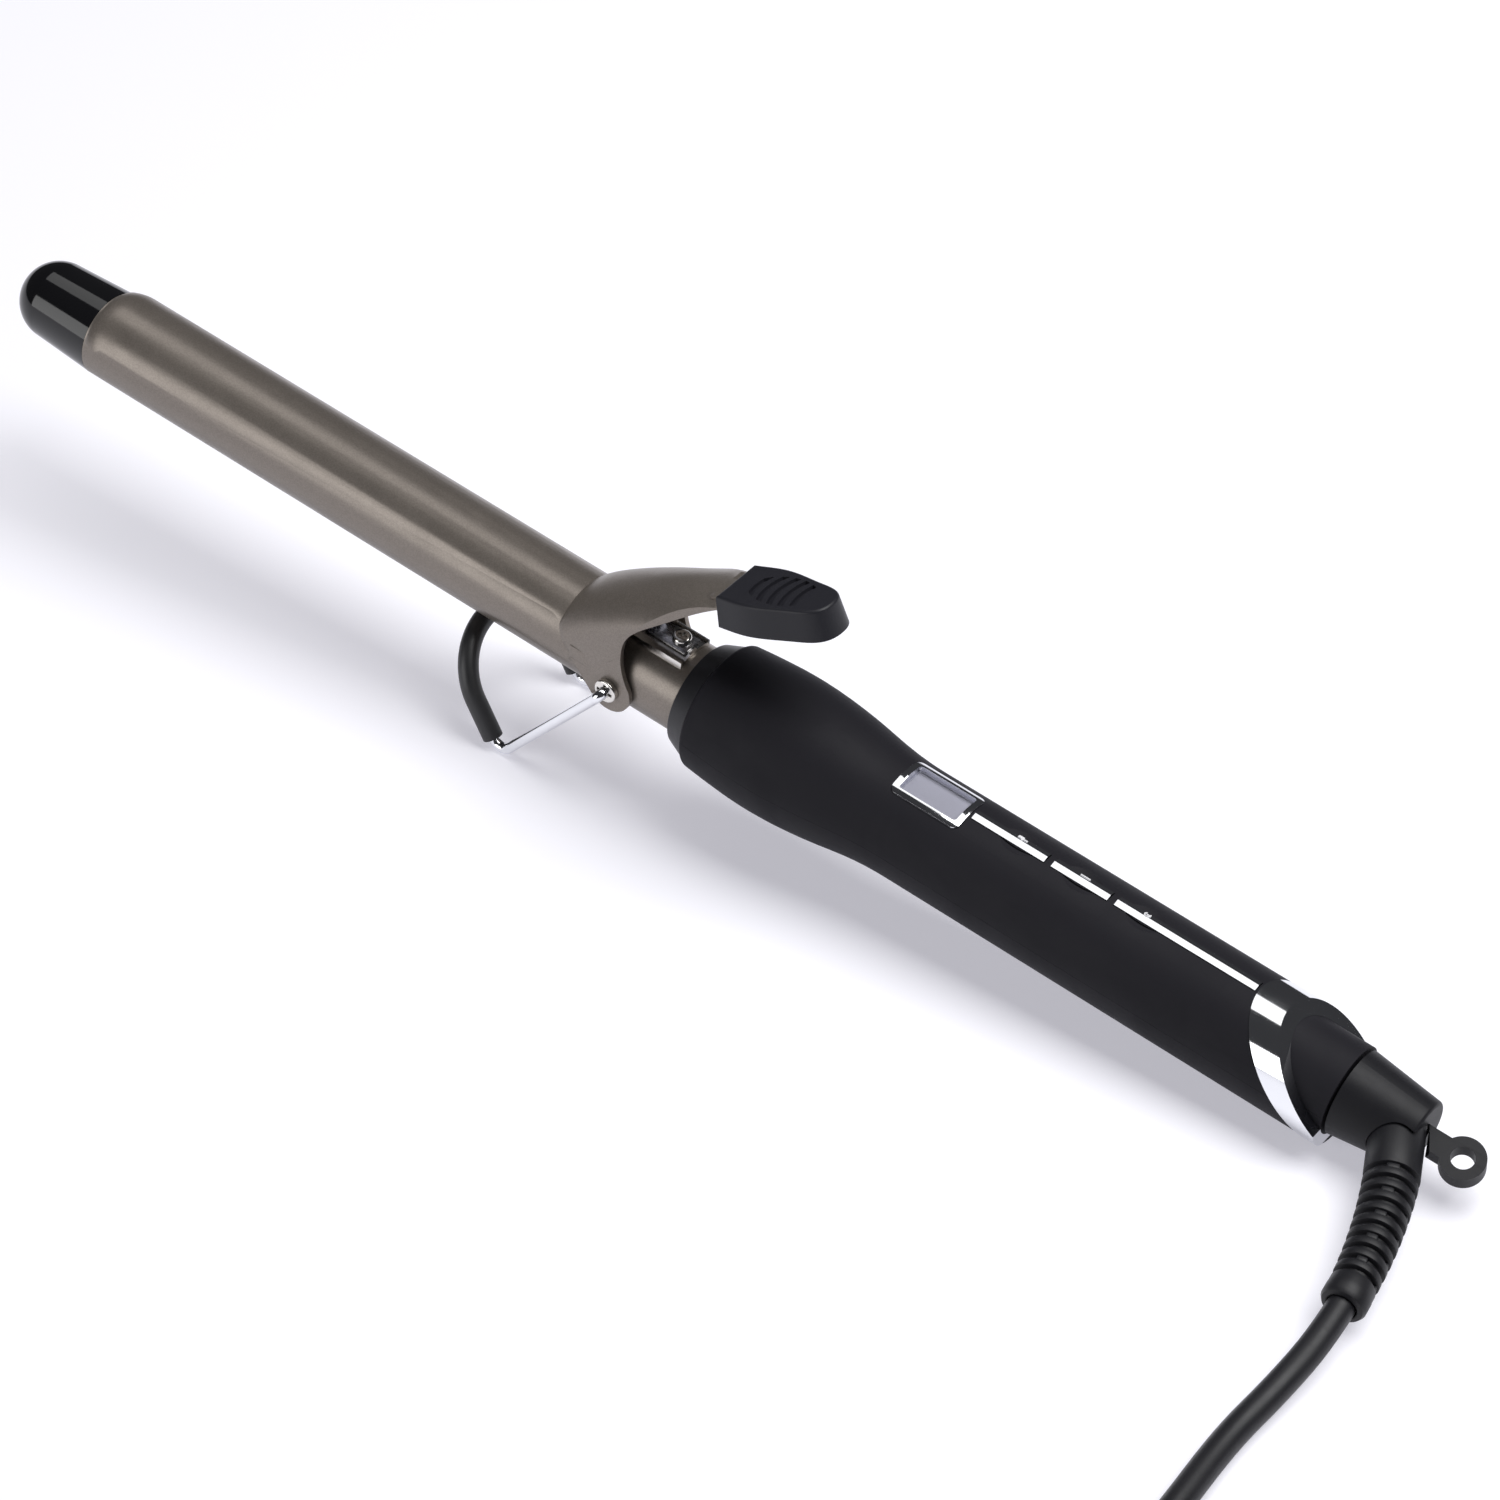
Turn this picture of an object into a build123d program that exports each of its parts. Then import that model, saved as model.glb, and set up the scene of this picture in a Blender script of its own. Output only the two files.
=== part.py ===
"""A curling iron that rests on its wire stand.

The iron is drawn along its own axis. X runs from the barrel's front rim to the tail, Z is up
through the lever, and Y runs away from the viewer. At the end one placement, the stance, leans
the iron back onto its stand and its tail. The cord is drawn on the floor, where Z is 0.
All sizes are millimetres.
"""
import os
from math import asin, atan2, cos, degrees, hypot, pi, radians, sin, tan

from build123d import *

# Clearances
running_fit = 0.08
loose_fit = 0.15
slide_gap = 0.3
face_gap = 0.05

# Barrel, tip cap and what heats them
barrel_diameter = 22.0
barrel_wall = 1.0
barrel_exposed = 183.6
barrel_seat = 21.0
cap_length = 27.5
cap_nose_radius = 10.05
cap_spigot = 8.0
heater_start = 12.0
heater_length = 132.0
ptc_length = 108.0
ptc_width = 13.0
ptc_thickness = 3.2
sensor_diameter = 2.2
sensor_length = 14.0
fuse_diameter = 3.8
fuse_length = 11.0

# Hinge, in the barrel's side walls
hinge_x = 166.0
hinge_z = -1.2
hinge_bar_diameter = 8.0
hinge_thread_diameter = 3.8
hinge_shoulder_diameter = 4.8
hinge_head_diameter = 6.0
hinge_head_thickness = 1.3
recess_width = 0.9
recess_span = 4.4
recess_depth = 0.6

# Clamp: tongue, ears and lever, pressed from one sheet
clamp_sheet = 1.2
clamp_lift = 0.3
tongue_start = 0.8
tongue_nose = 5.6
tongue_nose_drop = 0.85
tongue_edge_tip_z = 3.9
tongue_edge_root_z = 8.3
tongue_root_x = 148.0
ear_radius = 6.2
ear_neck_x = 168.4
ear_neck_z = 11.0
lever_root_x = 149.0
lever_end_half_width = 7.6
lever_end_bow = 1.6
lever_sheet = 1.6

# Thumb rest on the lever's end
rest_x = 188.5
rest_z = 39.4
rest_slope = 21.0
rest_length = 28.0
rest_front_width = 14.2
rest_width = 17.0
rest_height = 7.6
rest_draft = 8.0
rest_reach = 14.0
grip_groove_count = 5
grip_groove_pitch = 3.1
grip_groove_width = 1.5
grip_groove_depth = 0.8

# Spring and its saddle on the barrel, under the lever
saddle_start = 160.0
saddle_end = 180.5
saddle_sheet = 1.0
saddle_half_width = 5.4
saddle_lip = 0.7
saddle_screw_x = 176.4
saddle_screw_diameter = 2.5
saddle_screw_head = 4.6
saddle_screw_head_height = 1.5
saddle_screw_length = 5.0
spring_width = 6.0
spring_sheet = 0.6
spring_front_x = 163.5
spring_bend_radius = 3.2

# Stand: one bent wire with a sleeve on its bow
wire_diameter = 2.7
sleeve_diameter = 5.0
stand_foot_back = 26.7
stand_foot_drop = 37.2
stand_bow_rise = 54.5
stand_corner_radius = 3.0
stand_pivot_radius = 1.6
sleeve_start = 4.5

# Handle, two shells that close on a level parting line
shell_wall = 2.0
collar_length = 5.4
collar_front_radius = 13.0
collar_rear_radius = 15.2
collar_spigot = 5.0
handle_front_radius = 16.0
belly_x = 207.5
belly_radius = 17.2
taper_x = 226.0
taper_radius = 15.65
waist_x = 245.0
tail_radius = 13.65
tail_end_x = 361.5
neck_radius = 10.9
cavity_end_x = 334.0
holder_length = 8.0
shell_front_round = 1.2

# End ring, cut on the slant at both ends
ring_front_x = 336.0
ring_width = 7.8
ring_proud = 0.25
ring_slant = 45.0

# Display and keys, along the top of the handle
display_x = 249.2
bezel_length = 18.6
bezel_width = 12.0
bezel_rise = 0.4
bezel_corner = 1.6
bezel_floor = 11.4
window_length = 15.6
window_width = 8.8
window_corner = 0.8
lens_depth = 1.1
lens_thickness = 1.2
key_width = 3.0
key_ridge = 0.55
key_shoulder = 0.1
key_flange_width = 4.4
key_flange_top = 11.2
key_flange = 0.6
key_stem_diameter = 2.4
key_spaces = (258.4, 280.0, 297.0, 336.1)
key_bridge = 1.9
key_presses = (271.6, 288.5, 305.4)
key_travel = 0.6
key_free_play = 0.1
dimple_radius = 14.0
dimple_depth = 0.9

# Board, switches and larger components
board_start = 236.0
board_end = 322.0
board_width = 16.0
board_thickness = 1.6
board_top = 5.6
switch_size = 4.5
switch_height = 2.6
actuator_diameter = 2.0
board_rib = 1.8
board_rib_inset = 6.0
triac_x = 313.0
capacitor_diameter = 7.0
capacitor_length = 10.0

# Screw that closes the shells, from below
shell_screw_x = 216.0
shell_screw_diameter = 2.3
shell_screw_length = 13.0
shell_screw_head = 5.4
shell_screw_head_height = 2.0
shell_screw_seat = -8.0
boss_radius = 3.3

# Swivel on the tail
swivel_gap = 0.7
swivel_length = 18.4
swivel_front_radius = 10.4
swivel_rear_radius = 8.2
journal_radius = 7.1
journal_seat_x = 353.0
journal_flange_radius = 8.4
journal_flange = 2.0
slip_hub_radius = 4.6
slip_ring_radius = 5.4
slip_ring_width = 2.6
slip_ring_pitch = 5.0
slip_hub_length = 13.0
brush_sheet = 0.5
brush_width = 2.2

# Hanging loop on the swivel
loop_outer = 10.4
loop_hole = 5.4
loop_thickness = 4.0
loop_reach = 10.2
loop_stem = 5.4
loop_y = -0.5

# Strain relief and cord
relief_x = 374.3
relief_turn = 8.0
relief_dip = 3.5
relief_root_radius = 6.2
relief_end_radius = 5.3
relief_root = 12.0
relief_ribbed = 37.0
relief_collar = 3.4
relief_collar_radius = 6.0
relief_ribs = 11
relief_groove = 0.9
relief_bend = 22.0
cord_diameter = 6.5
cord_socket = 6.0

# Coil of the length that is put away, its tie and its plug
coil_start = (206.6, -154.0)
coil_inner_radius = 26.5
coil_pitch = 7.1
coil_turns_each = 3
coil_layer = 7.3
tie_width = 9.0
tie_sheet = 1.0
plug_length = 34.0
plug_width = 26.0
plug_height = 13.6
plug_pin_diameter = 4.0
plug_pin_length = 19.0
plug_pin_spacing = 18.6
plug_neck = 14.0

# Worked out from the sizes above
barrel_radius = barrel_diameter / 2
bore_radius = barrel_radius - barrel_wall
barrel_length = barrel_exposed + barrel_seat
handle_front_x = barrel_exposed + collar_length
clamp_inner = barrel_radius + clamp_lift
clamp_outer = clamp_inner + clamp_sheet
pieces = {}


def keep(builder, name):
    """Label a finished piece and put it on the list of pieces."""
    builder.part.label = name
    pieces[name] = builder.part


def slant(x):
    """Slanted plane across the tail that meets the top line of the handle at x."""
    return Plane(origin=(x, 0, tail_radius), z_dir=(cos(radians(ring_slant)), 0, sin(radians(ring_slant))))


def handle_form(inset, start, end):
    """Round handle form between two stations, inset from the outer skin."""
    with BuildPart() as form:
        with BuildSketch(Plane.XZ):
            with BuildLine():
                skin = Spline(
                    (handle_front_x, handle_front_radius - inset),
                    (belly_x, belly_radius - inset),
                    (taper_x, taper_radius - inset),
                    (waist_x, tail_radius - inset),
                    tangents=((1, 0.1), (1, 0)),
                )
                rear = Line(skin @ 1, (tail_end_x, tail_radius - inset))
                Polyline(rear @ 1, (tail_end_x, 0), (handle_front_x, 0), skin @ 0)
            make_face()
        revolve(axis=Axis.X)
        with BuildSketch(Plane.YZ.offset(start)):
            Circle(2 * belly_radius)
        extrude(amount=end - start, mode=Mode.INTERSECT)
    return form.part


def round_bar(x0, x1, radius):
    """Plain round bar on the iron's axis."""
    with BuildPart() as bar:
        with BuildSketch(Plane.YZ.offset(x0)):
            Circle(radius)
        extrude(amount=x1 - x0)
    return bar.part


# Barrel tube, with the holes for the hinge screws and the saddle screw
with BuildPart() as barrel:
    with BuildSketch(Plane.YZ):
        Circle(barrel_radius)
        Circle(bore_radius, mode=Mode.SUBTRACT)
    extrude(amount=barrel_length)
    with BuildSketch(Plane.XZ):
        with Locations((hinge_x, hinge_z)):
            Circle(hinge_thread_diameter / 2 + running_fit)
    extrude(amount=barrel_diameter, both=True, mode=Mode.SUBTRACT)
    with BuildSketch(Plane.XY):
        with Locations((saddle_screw_x, 0)):
            Circle(saddle_screw_diameter / 2 + running_fit)
    extrude(amount=barrel_diameter, mode=Mode.SUBTRACT)
keep(barrel, "barrel")

# Cool tip: a bullet nose with a spigot that plugs the barrel
cap_nose_x = cap_nose_radius - cap_length
with BuildPart() as tip_cap:
    with BuildSketch(Plane.XZ):
        with BuildLine():
            nose = CenterArc((cap_nose_x, 0), cap_nose_radius, 90, 90)
            Polyline(
                nose @ 0,
                (-face_gap, barrel_radius),
                (-face_gap, bore_radius - face_gap),
                (cap_spigot, bore_radius - face_gap),
                (cap_spigot, 0),
                nose @ 1,
            )
        make_face()
    revolve(axis=Axis.X)
keep(tip_cap, "tip_cap")

# Heat spreaders: two half rounds that press the heating element between them
heater_end = heater_start + heater_length
spreader_radius = bore_radius - loose_fit
pocket_offset = (ptc_thickness + spreader_radius) / 2
for side, name, pocket, depth in (
    (1, "upper_heat_spreader", fuse_diameter, fuse_length),
    (-1, "lower_heat_spreader", sensor_diameter, sensor_length),
):
    with BuildPart() as spreader:
        with BuildSketch(Plane.YZ.offset(heater_start)):
            Circle(spreader_radius)
            with Locations((0, -side * (spreader_radius - ptc_thickness / 2))):
                Rectangle(2 * spreader_radius, 2 * spreader_radius, mode=Mode.SUBTRACT)
        extrude(amount=heater_length)
        with BuildSketch(Plane.YZ.offset(heater_end)):
            with Locations((0, side * pocket_offset)):
                Circle(pocket / 2 + running_fit)
        extrude(amount=-depth, mode=Mode.SUBTRACT)
    keep(spreader, name)

with BuildPart() as ptc_heater:
    with Locations((heater_start + heater_length / 2, 0, 0)):
        Box(ptc_length, ptc_width, ptc_thickness)
keep(ptc_heater, "ptc_heater")

for name, side, diameter, length in (
    ("thermal_fuse", 1, fuse_diameter, fuse_length),
    ("temperature_sensor", -1, sensor_diameter, sensor_length),
):
    with BuildPart() as probe:
        with BuildSketch(Plane.YZ.offset(heater_end - length + face_gap)):
            with Locations((0, side * pocket_offset)):
                Circle(diameter / 2)
        extrude(amount=length)
        fillet(probe.edges().filter_by(GeomType.CIRCLE), diameter / 8)
    keep(probe, name)

# Hinge bar across the inside of the barrel, which takes both hinge screws
hinge_thread_depth = bore_radius * 0.7
with BuildPart() as hinge_bar:
    with BuildSketch(Plane.XZ):
        with Locations((hinge_x, hinge_z)):
            Circle(hinge_bar_diameter / 2)
    extrude(amount=barrel_radius, both=True)
    add(round_bar(hinge_x - barrel_radius, hinge_x + barrel_radius, bore_radius - face_gap), mode=Mode.INTERSECT)
    with BuildSketch(Plane.XZ):
        with Locations((hinge_x, hinge_z)):
            Circle(hinge_thread_diameter / 2 + face_gap)
    extrude(amount=barrel_radius, both=True, mode=Mode.SUBTRACT)
    with BuildSketch(Plane.XZ):
        with Locations((hinge_x, hinge_z)):
            Circle(hinge_thread_diameter / 2 + hinge_bar_diameter / 8)
    extrude(amount=bore_radius - hinge_thread_depth, both=True)
keep(hinge_bar, "hinge_bar")

# Hinge screws: thread, shoulder for the clamp's ear, and a head with a socket for the stand
ear_outer = clamp_outer
shoulder_end = ear_outer + loose_fit
head_face = shoulder_end + hinge_head_thickness
socket_depth = hinge_head_thickness + clamp_sheet / 2
wire_radius = wire_diameter / 2
with BuildPart() as hinge_screws:
    for side in (1, -1):
        outward = Plane(origin=(hinge_x, 0, hinge_z), x_dir=(1, 0, 0), z_dir=(0, side, 0))
        with BuildSketch(outward.offset(bore_radius - hinge_thread_depth + slide_gap)):
            Circle(hinge_thread_diameter / 2)
        extrude(amount=hinge_thread_depth + barrel_wall)
        with BuildSketch(outward.offset(barrel_radius + face_gap)):
            Circle(hinge_shoulder_diameter / 2)
        extrude(amount=shoulder_end - barrel_radius - face_gap)
        with BuildSketch(outward.offset(shoulder_end)):
            Circle(hinge_head_diameter / 2)
        extrude(amount=hinge_head_thickness)
        head_rim = hinge_screws.faces().sort_by(Axis.Y)[-1 if side > 0 else 0].edges()
        fillet(head_rim, hinge_head_thickness / 3)
        with BuildSketch(outward.offset(head_face)):
            Circle(wire_radius + running_fit)
        extrude(amount=-socket_depth, mode=Mode.SUBTRACT)
        with BuildSketch(outward.offset(head_face)):
            Rectangle(recess_span, recess_width)
            Rectangle(recess_width, recess_span)
        extrude(amount=-recess_depth, mode=Mode.SUBTRACT)
keep(hinge_screws, "hinge_screws")

# Side outline of the clamp: tongue edge, ear round the hinge, lower edge of the lever
rest_plane = Plane(
    origin=(rest_x, 0, rest_z),
    x_dir=(cos(radians(rest_slope)), 0, sin(radians(rest_slope))),
    z_dir=(-sin(radians(rest_slope)), 0, cos(radians(rest_slope))),
)
ear_front_angle = 222.0
ear_plate_low = -9.0
ear_plates = ((lever_root_x, 161.0, 1.5), (160.0, 175.0, 10.5))
ear_rear_angle = 385.0
lever_rim = ((169.0, 15.8), (176.4, 24.6), (185.7, 32.9), (193.0, 38.4))
with BuildPart() as clamp_outline:
    with BuildSketch(Plane.XZ):
        with BuildLine():
            ear = CenterArc((hinge_x, hinge_z), ear_radius, ear_front_angle, ear_rear_angle - ear_front_angle)
            edge = FilletPolyline(
                (tongue_start - tongue_nose, tongue_edge_tip_z),
                (tongue_root_x, tongue_edge_root_z),
                ear @ 0,
                radius=ear_radius,
            )
            rim = Spline(ear @ 1, (ear_neck_x, ear_neck_z), *lever_rim)
            Polyline(rim @ 1, (lever_rim[-1][0], 2 * rest_z), (tongue_start - tongue_nose, 2 * rest_z), edge @ 0)
        make_face()
    extrude(amount=2 * clamp_outer, both=True)

# Clamp sections from the root of the lever to the thumb rest: station, half width, crown, bow
lever_sections = (
    (lever_root_x, clamp_outer, clamp_outer, clamp_outer),
    (lever_root_x + 10, clamp_outer, 21.3, 11.6),
    (lever_root_x + 20, clamp_outer - 0.2, 28.0, 9.6),
    (lever_root_x + 30, 9.9, 33.5, 3.6),
    (rest_x + 0.5, lever_end_half_width, 37.9, lever_end_bow),
    (rest_x + 5.5, lever_end_half_width - 0.4, 39.8, lever_end_bow),
)


def hood(inset, top, foot):
    """Hood of the clamp as a solid, from its root to the thumb rest."""
    with BuildPart() as form:
        for i, (x, half, crown, bow) in enumerate(lever_sections):
            drop = inset if i == 0 else top
            spring = crown - bow - (0 if i == 0 else top)
            low = crown - bow - rest_height + foot
            with BuildSketch(Plane.YZ.offset(x)):
                with BuildLine():
                    arch = ThreePointArc(
                        (-half + inset, spring),
                        (0, crown - drop),
                        (half - inset, spring),
                    )
                    Polyline(arch @ 1, (half - inset, low), (inset - half, low), arch @ 0)
                make_face()
        loft()
    return form.part


hood_outer = hood(0, 0, 0)
hood_inner = hood(clamp_sheet, lever_sheet, -lever_sheet)
with BuildPart() as clamp:
    with BuildSketch(Plane.XZ):
        with BuildLine():
            toe = ThreePointArc(
                (tongue_start, clamp_outer - tongue_nose_drop),
                (tongue_start + tongue_nose * 0.3, clamp_outer - tongue_nose_drop * 0.4),
                (tongue_start + tongue_nose, clamp_outer),
            )
            Polyline(
                toe @ 1,
                (lever_root_x, clamp_outer),
                (lever_root_x, clamp_inner),
                (tongue_start, clamp_inner),
                toe @ 0,
            )
        make_face()
    revolve(axis=Axis.X)
    add(hood_outer - hood_inner)
    for side in (1, -1):
        for front, rear, top in ear_plates:
            middle = (front + rear) / 2
            with Locations((middle, side * (clamp_inner + clamp_outer) / 2, (ear_plate_low + top) / 2)):
                Box(rear - front, clamp_sheet, top - ear_plate_low)
    add(clamp_outline.part, mode=Mode.INTERSECT)
    split(bisect_by=Plane(rest_plane.origin, z_dir=rest_plane.x_dir).offset(-face_gap), keep=Keep.BOTTOM)
    with BuildSketch(rest_plane.offset(-1.8)):
        with Locations((rest_reach / 2 - 2, 0)):
            Rectangle(rest_reach + 2, 2 * lever_end_half_width - 4)
    extrude(amount=-clamp_sheet)
    with BuildSketch(Plane.XZ):
        with Locations((hinge_x, hinge_z)):
            Circle(hinge_shoulder_diameter / 2 + running_fit)
    extrude(amount=2 * clamp_outer, both=True, mode=Mode.SUBTRACT)
keep(clamp, "clamp")

# Thumb rest: a drafted D with a slot for the lever's tang and crescent grooves on top
with BuildPart() as thumb_rest:
    for depth in (0, rest_height):
        grow = depth * tan(radians(rest_draft))
        with BuildSketch(rest_plane.offset(-depth)):
            with BuildLine():
                flank = Spline(
                    (-grow, rest_front_width / 2 + grow),
                    (rest_length * 0.32, rest_width / 2 - 0.4 + grow),
                    (rest_length * 0.72 + grow / 2, rest_width * 0.37 + grow * 0.8),
                    (rest_length + grow, 0),
                    tangents=((1, 0.12), (0, -1)),
                )
                mirror(flank, about=Plane.XZ)
                Line((-grow, rest_front_width / 2 + grow), (-grow, -rest_front_width / 2 - grow))
            make_face()
    loft()
    split(bisect_by=Plane(rest_plane.origin, z_dir=rest_plane.x_dir), keep=Keep.TOP)
    crown_edges = thumb_rest.faces().sort_by(Axis((rest_x, 0, rest_z), tuple(rest_plane.z_dir)))[-1].edges()
    fillet(crown_edges, 0.8)
    with BuildSketch(rest_plane) as grooves:
        for i in range(grip_groove_count):
            ridge = rest_length * 0.46 + (i - (grip_groove_count - 1) / 2) * grip_groove_pitch
            reach = rest_width * 0.75
            with Locations((ridge + reach, 0)):
                Circle(reach + grip_groove_width / 2)
                Circle(reach - grip_groove_width / 2, mode=Mode.SUBTRACT)
        with Locations((rest_length * 0.5, 0)):
            Ellipse(rest_length * 0.32, rest_width * 0.33, mode=Mode.INTERSECT)
    extrude(amount=-grip_groove_depth, mode=Mode.SUBTRACT)
    with BuildSketch(rest_plane.offset(-1.8 + face_gap)):
        with Locations((rest_reach / 2 - 2, 0)):
            Rectangle(rest_reach + 2 + 2 * loose_fit, 2 * lever_end_half_width - 4 + 2 * loose_fit)
    extrude(amount=-clamp_sheet - 2 * face_gap, mode=Mode.SUBTRACT)
keep(thumb_rest, "thumb_rest")

# Spring saddle on top of the barrel, with turned-up edges
saddle_inner = barrel_radius + face_gap
saddle_top = saddle_inner + saddle_sheet
with BuildPart() as spring_saddle:
    with BuildSketch(Plane.YZ.offset(saddle_start)):
        Circle(saddle_top)
        Circle(saddle_inner, mode=Mode.SUBTRACT)
        with Locations((0, saddle_top)):
            Rectangle(2 * saddle_half_width, saddle_top, mode=Mode.INTERSECT)
    extrude(amount=saddle_end - saddle_start)
    for side in (1, -1):
        with BuildSketch(Plane.YZ.offset(saddle_start)):
            Circle(saddle_top + saddle_lip)
            Circle(saddle_inner, mode=Mode.SUBTRACT)
            with Locations((side * (saddle_half_width - saddle_lip / 2), saddle_top)):
                Rectangle(saddle_lip, saddle_top, mode=Mode.INTERSECT)
        extrude(amount=saddle_end - saddle_start)
    with BuildSketch(Plane.XY):
        with Locations((saddle_screw_x, 0)):
            Circle(saddle_screw_diameter / 2 + running_fit)
    extrude(amount=barrel_diameter, mode=Mode.SUBTRACT)
keep(spring_saddle, "spring_saddle")

# Clamp spring: a flat strip under the screw that turns up to press on the lever
spring_mid = saddle_top + face_gap + spring_sheet / 2
spring_turn = 130.0
spring_arm = 13.0
spring_bend_x = spring_front_x + spring_bend_radius
with BuildPart() as clamp_spring:
    with BuildLine(Plane.XZ) as strip:
        base = Line((saddle_end - 1, spring_mid), (spring_bend_x, spring_mid))
        bend = CenterArc((spring_bend_x, spring_mid + spring_bend_radius), spring_bend_radius, -90, -spring_turn)
        PolarLine(bend @ 1, spring_arm, 180 - spring_turn)
    with BuildSketch(Plane(origin=(saddle_end - 1, 0, spring_mid), x_dir=(0, 1, 0), z_dir=(-1, 0, 0))):
        Rectangle(spring_width, spring_sheet)
    sweep(path=strip.wires()[0])
    with BuildSketch(Plane.XY):
        with Locations((saddle_screw_x, 0)):
            Circle(saddle_screw_diameter / 2 + running_fit)
    extrude(amount=spring_mid + spring_bend_radius, mode=Mode.SUBTRACT)
keep(clamp_spring, "clamp_spring")

screw_seat = spring_mid + spring_sheet / 2 + face_gap
with BuildPart() as saddle_screw:
    with BuildSketch(Plane.XY.offset(screw_seat)):
        with Locations((saddle_screw_x, 0)):
            Circle(saddle_screw_head / 2)
    extrude(amount=saddle_screw_head_height)
    fillet(saddle_screw.faces().sort_by(Axis.Z)[-1].edges(), saddle_screw_head_height / 2)
    with BuildSketch(Plane.XY.offset(screw_seat)):
        with Locations((saddle_screw_x, 0)):
            Circle(saddle_screw_diameter / 2)
    extrude(amount=-saddle_screw_length)
    with BuildSketch(Plane.XY.offset(screw_seat + saddle_screw_head_height)):
        with Locations((saddle_screw_x, 0)):
            Rectangle(saddle_screw_head / 2, recess_width * 0.7)
            Rectangle(recess_width * 0.7, saddle_screw_head / 2)
    extrude(amount=-recess_depth, mode=Mode.SUBTRACT)
keep(saddle_screw, "saddle_screw")

# Stand: pivot ends in the screw heads, two legs, and a round bow that stops under the barrel
leg_y = head_face + slide_gap + wire_radius
foot_x = hinge_x - stand_foot_back
foot_z = hinge_z - stand_foot_drop
sleeve_radius = sleeve_diameter / 2
bow_dx = -cos(radians(stand_bow_rise))
bow_dz = sin(radians(stand_bow_rise))
bow_reach = (-barrel_radius - slide_gap - sleeve_radius - foot_z) / bow_dz
bow_straight = bow_reach - leg_y


def on_bow(reach, y):
    """Point on the stand's bow, at a reach from the corner of the foot."""
    return (foot_x + bow_dx * reach, y, foot_z + bow_dz * reach)


def leg(side):
    """Corner points of one leg, from the pivot to the start of the round bow."""
    return (
        (hinge_x, side * (head_face - socket_depth + face_gap), hinge_z),
        (hinge_x, side * leg_y, hinge_z),
        (foot_x, side * leg_y, foot_z),
        on_bow(bow_straight, side * leg_y),
    )


leg_radii = (stand_pivot_radius, stand_corner_radius)
with BuildPart() as stand_wire:
    with BuildLine() as wire_path:
        near_leg = FilletPolyline(*leg(-1), radius=leg_radii)
        bow = ThreePointArc(on_bow(bow_straight, -leg_y), on_bow(bow_reach, 0), on_bow(bow_straight, leg_y))
        FilletPolyline(*reversed(leg(1)), radius=tuple(reversed(leg_radii)))
    with BuildSketch(Plane(origin=leg(-1)[0], z_dir=(0, -1, 0))):
        Circle(wire_radius)
    sweep(path=wire_path.wires()[0])
keep(stand_wire, "stand_wire")

with BuildPart() as stand_sleeve:
    with BuildLine() as sleeve_path:
        Line(on_bow(sleeve_start, -leg_y), on_bow(bow_straight, -leg_y))
        ThreePointArc(on_bow(bow_straight, -leg_y), on_bow(bow_reach, 0), on_bow(bow_straight, leg_y))
        Line(on_bow(bow_straight, leg_y), on_bow(sleeve_start, leg_y))
    with BuildSketch(Plane(origin=on_bow(sleeve_start, -leg_y), z_dir=(bow_dx, 0, bow_dz))):
        Circle(sleeve_radius)
        Circle(wire_radius + face_gap, mode=Mode.SUBTRACT)
    sweep(path=sleeve_path.wires()[0])
keep(stand_sleeve, "stand_sleeve")

# Front collar, a cone with a spigot inside the shells
collar_bore = barrel_radius + loose_fit
spigot_radius = handle_front_radius - shell_wall - loose_fit
with BuildPart() as front_collar:
    with BuildSketch(Plane.XZ):
        with BuildLine():
            Polyline(
                (barrel_exposed, collar_bore),
                (barrel_exposed, collar_front_radius),
                (handle_front_x - face_gap, collar_rear_radius),
                (handle_front_x - face_gap, spigot_radius),
                (handle_front_x + collar_spigot, spigot_radius),
                (handle_front_x + collar_spigot, collar_bore),
                close=True,
            )
        make_face()
    revolve(axis=Axis.X)
    fillet(front_collar.edges().filter_by(GeomType.CIRCLE).sort_by(Axis.X).group_by(Axis.X)[0][-1], 0.5)
keep(front_collar, "front_collar")

holder_start = handle_front_x + collar_spigot + 1
with BuildPart() as barrel_holder:
    add(handle_form(shell_wall + loose_fit, holder_start, holder_start + holder_length))
    add(round_bar(holder_start - 1, holder_start + holder_length + 1, barrel_radius + face_gap), mode=Mode.SUBTRACT)
keep(barrel_holder, "barrel_holder")

# Both shells together: skin, hollow, neck for the end ring and bearing for the swivel
chamber_radius = journal_flange_radius + slide_gap
with BuildPart() as shells:
    add(handle_form(0, handle_front_x, tail_end_x))
    fillet(shells.edges().filter_by(GeomType.CIRCLE).group_by(Axis.X)[0], shell_front_round)
    split(bisect_by=slant(ring_front_x), keep=Keep.BOTTOM)
    add(round_bar(cavity_end_x, tail_end_x, neck_radius))
    add(handle_form(shell_wall, handle_front_x, cavity_end_x), mode=Mode.SUBTRACT)
    add(round_bar(cavity_end_x - 1, journal_seat_x, chamber_radius), mode=Mode.SUBTRACT)
    add(round_bar(journal_seat_x - 1, tail_end_x + 1, journal_radius + running_fit), mode=Mode.SUBTRACT)

key_stations = []
for i in range(3):
    key_stations.append((key_spaces[i] + key_bridge / 2, key_spaces[i + 1] - key_bridge / 2, key_presses[i]))

# Upper shell: openings for the display and the keys, dimples at the presses, a screw boss
with BuildPart() as upper_boss:
    with BuildSketch(Plane.XY.offset(slide_gap)):
        with Locations((shell_screw_x, 0)):
            Circle(boss_radius)
    extrude(amount=belly_radius)
    add(handle_form(shell_wall / 2, handle_front_x, tail_end_x), mode=Mode.INTERSECT)

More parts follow.
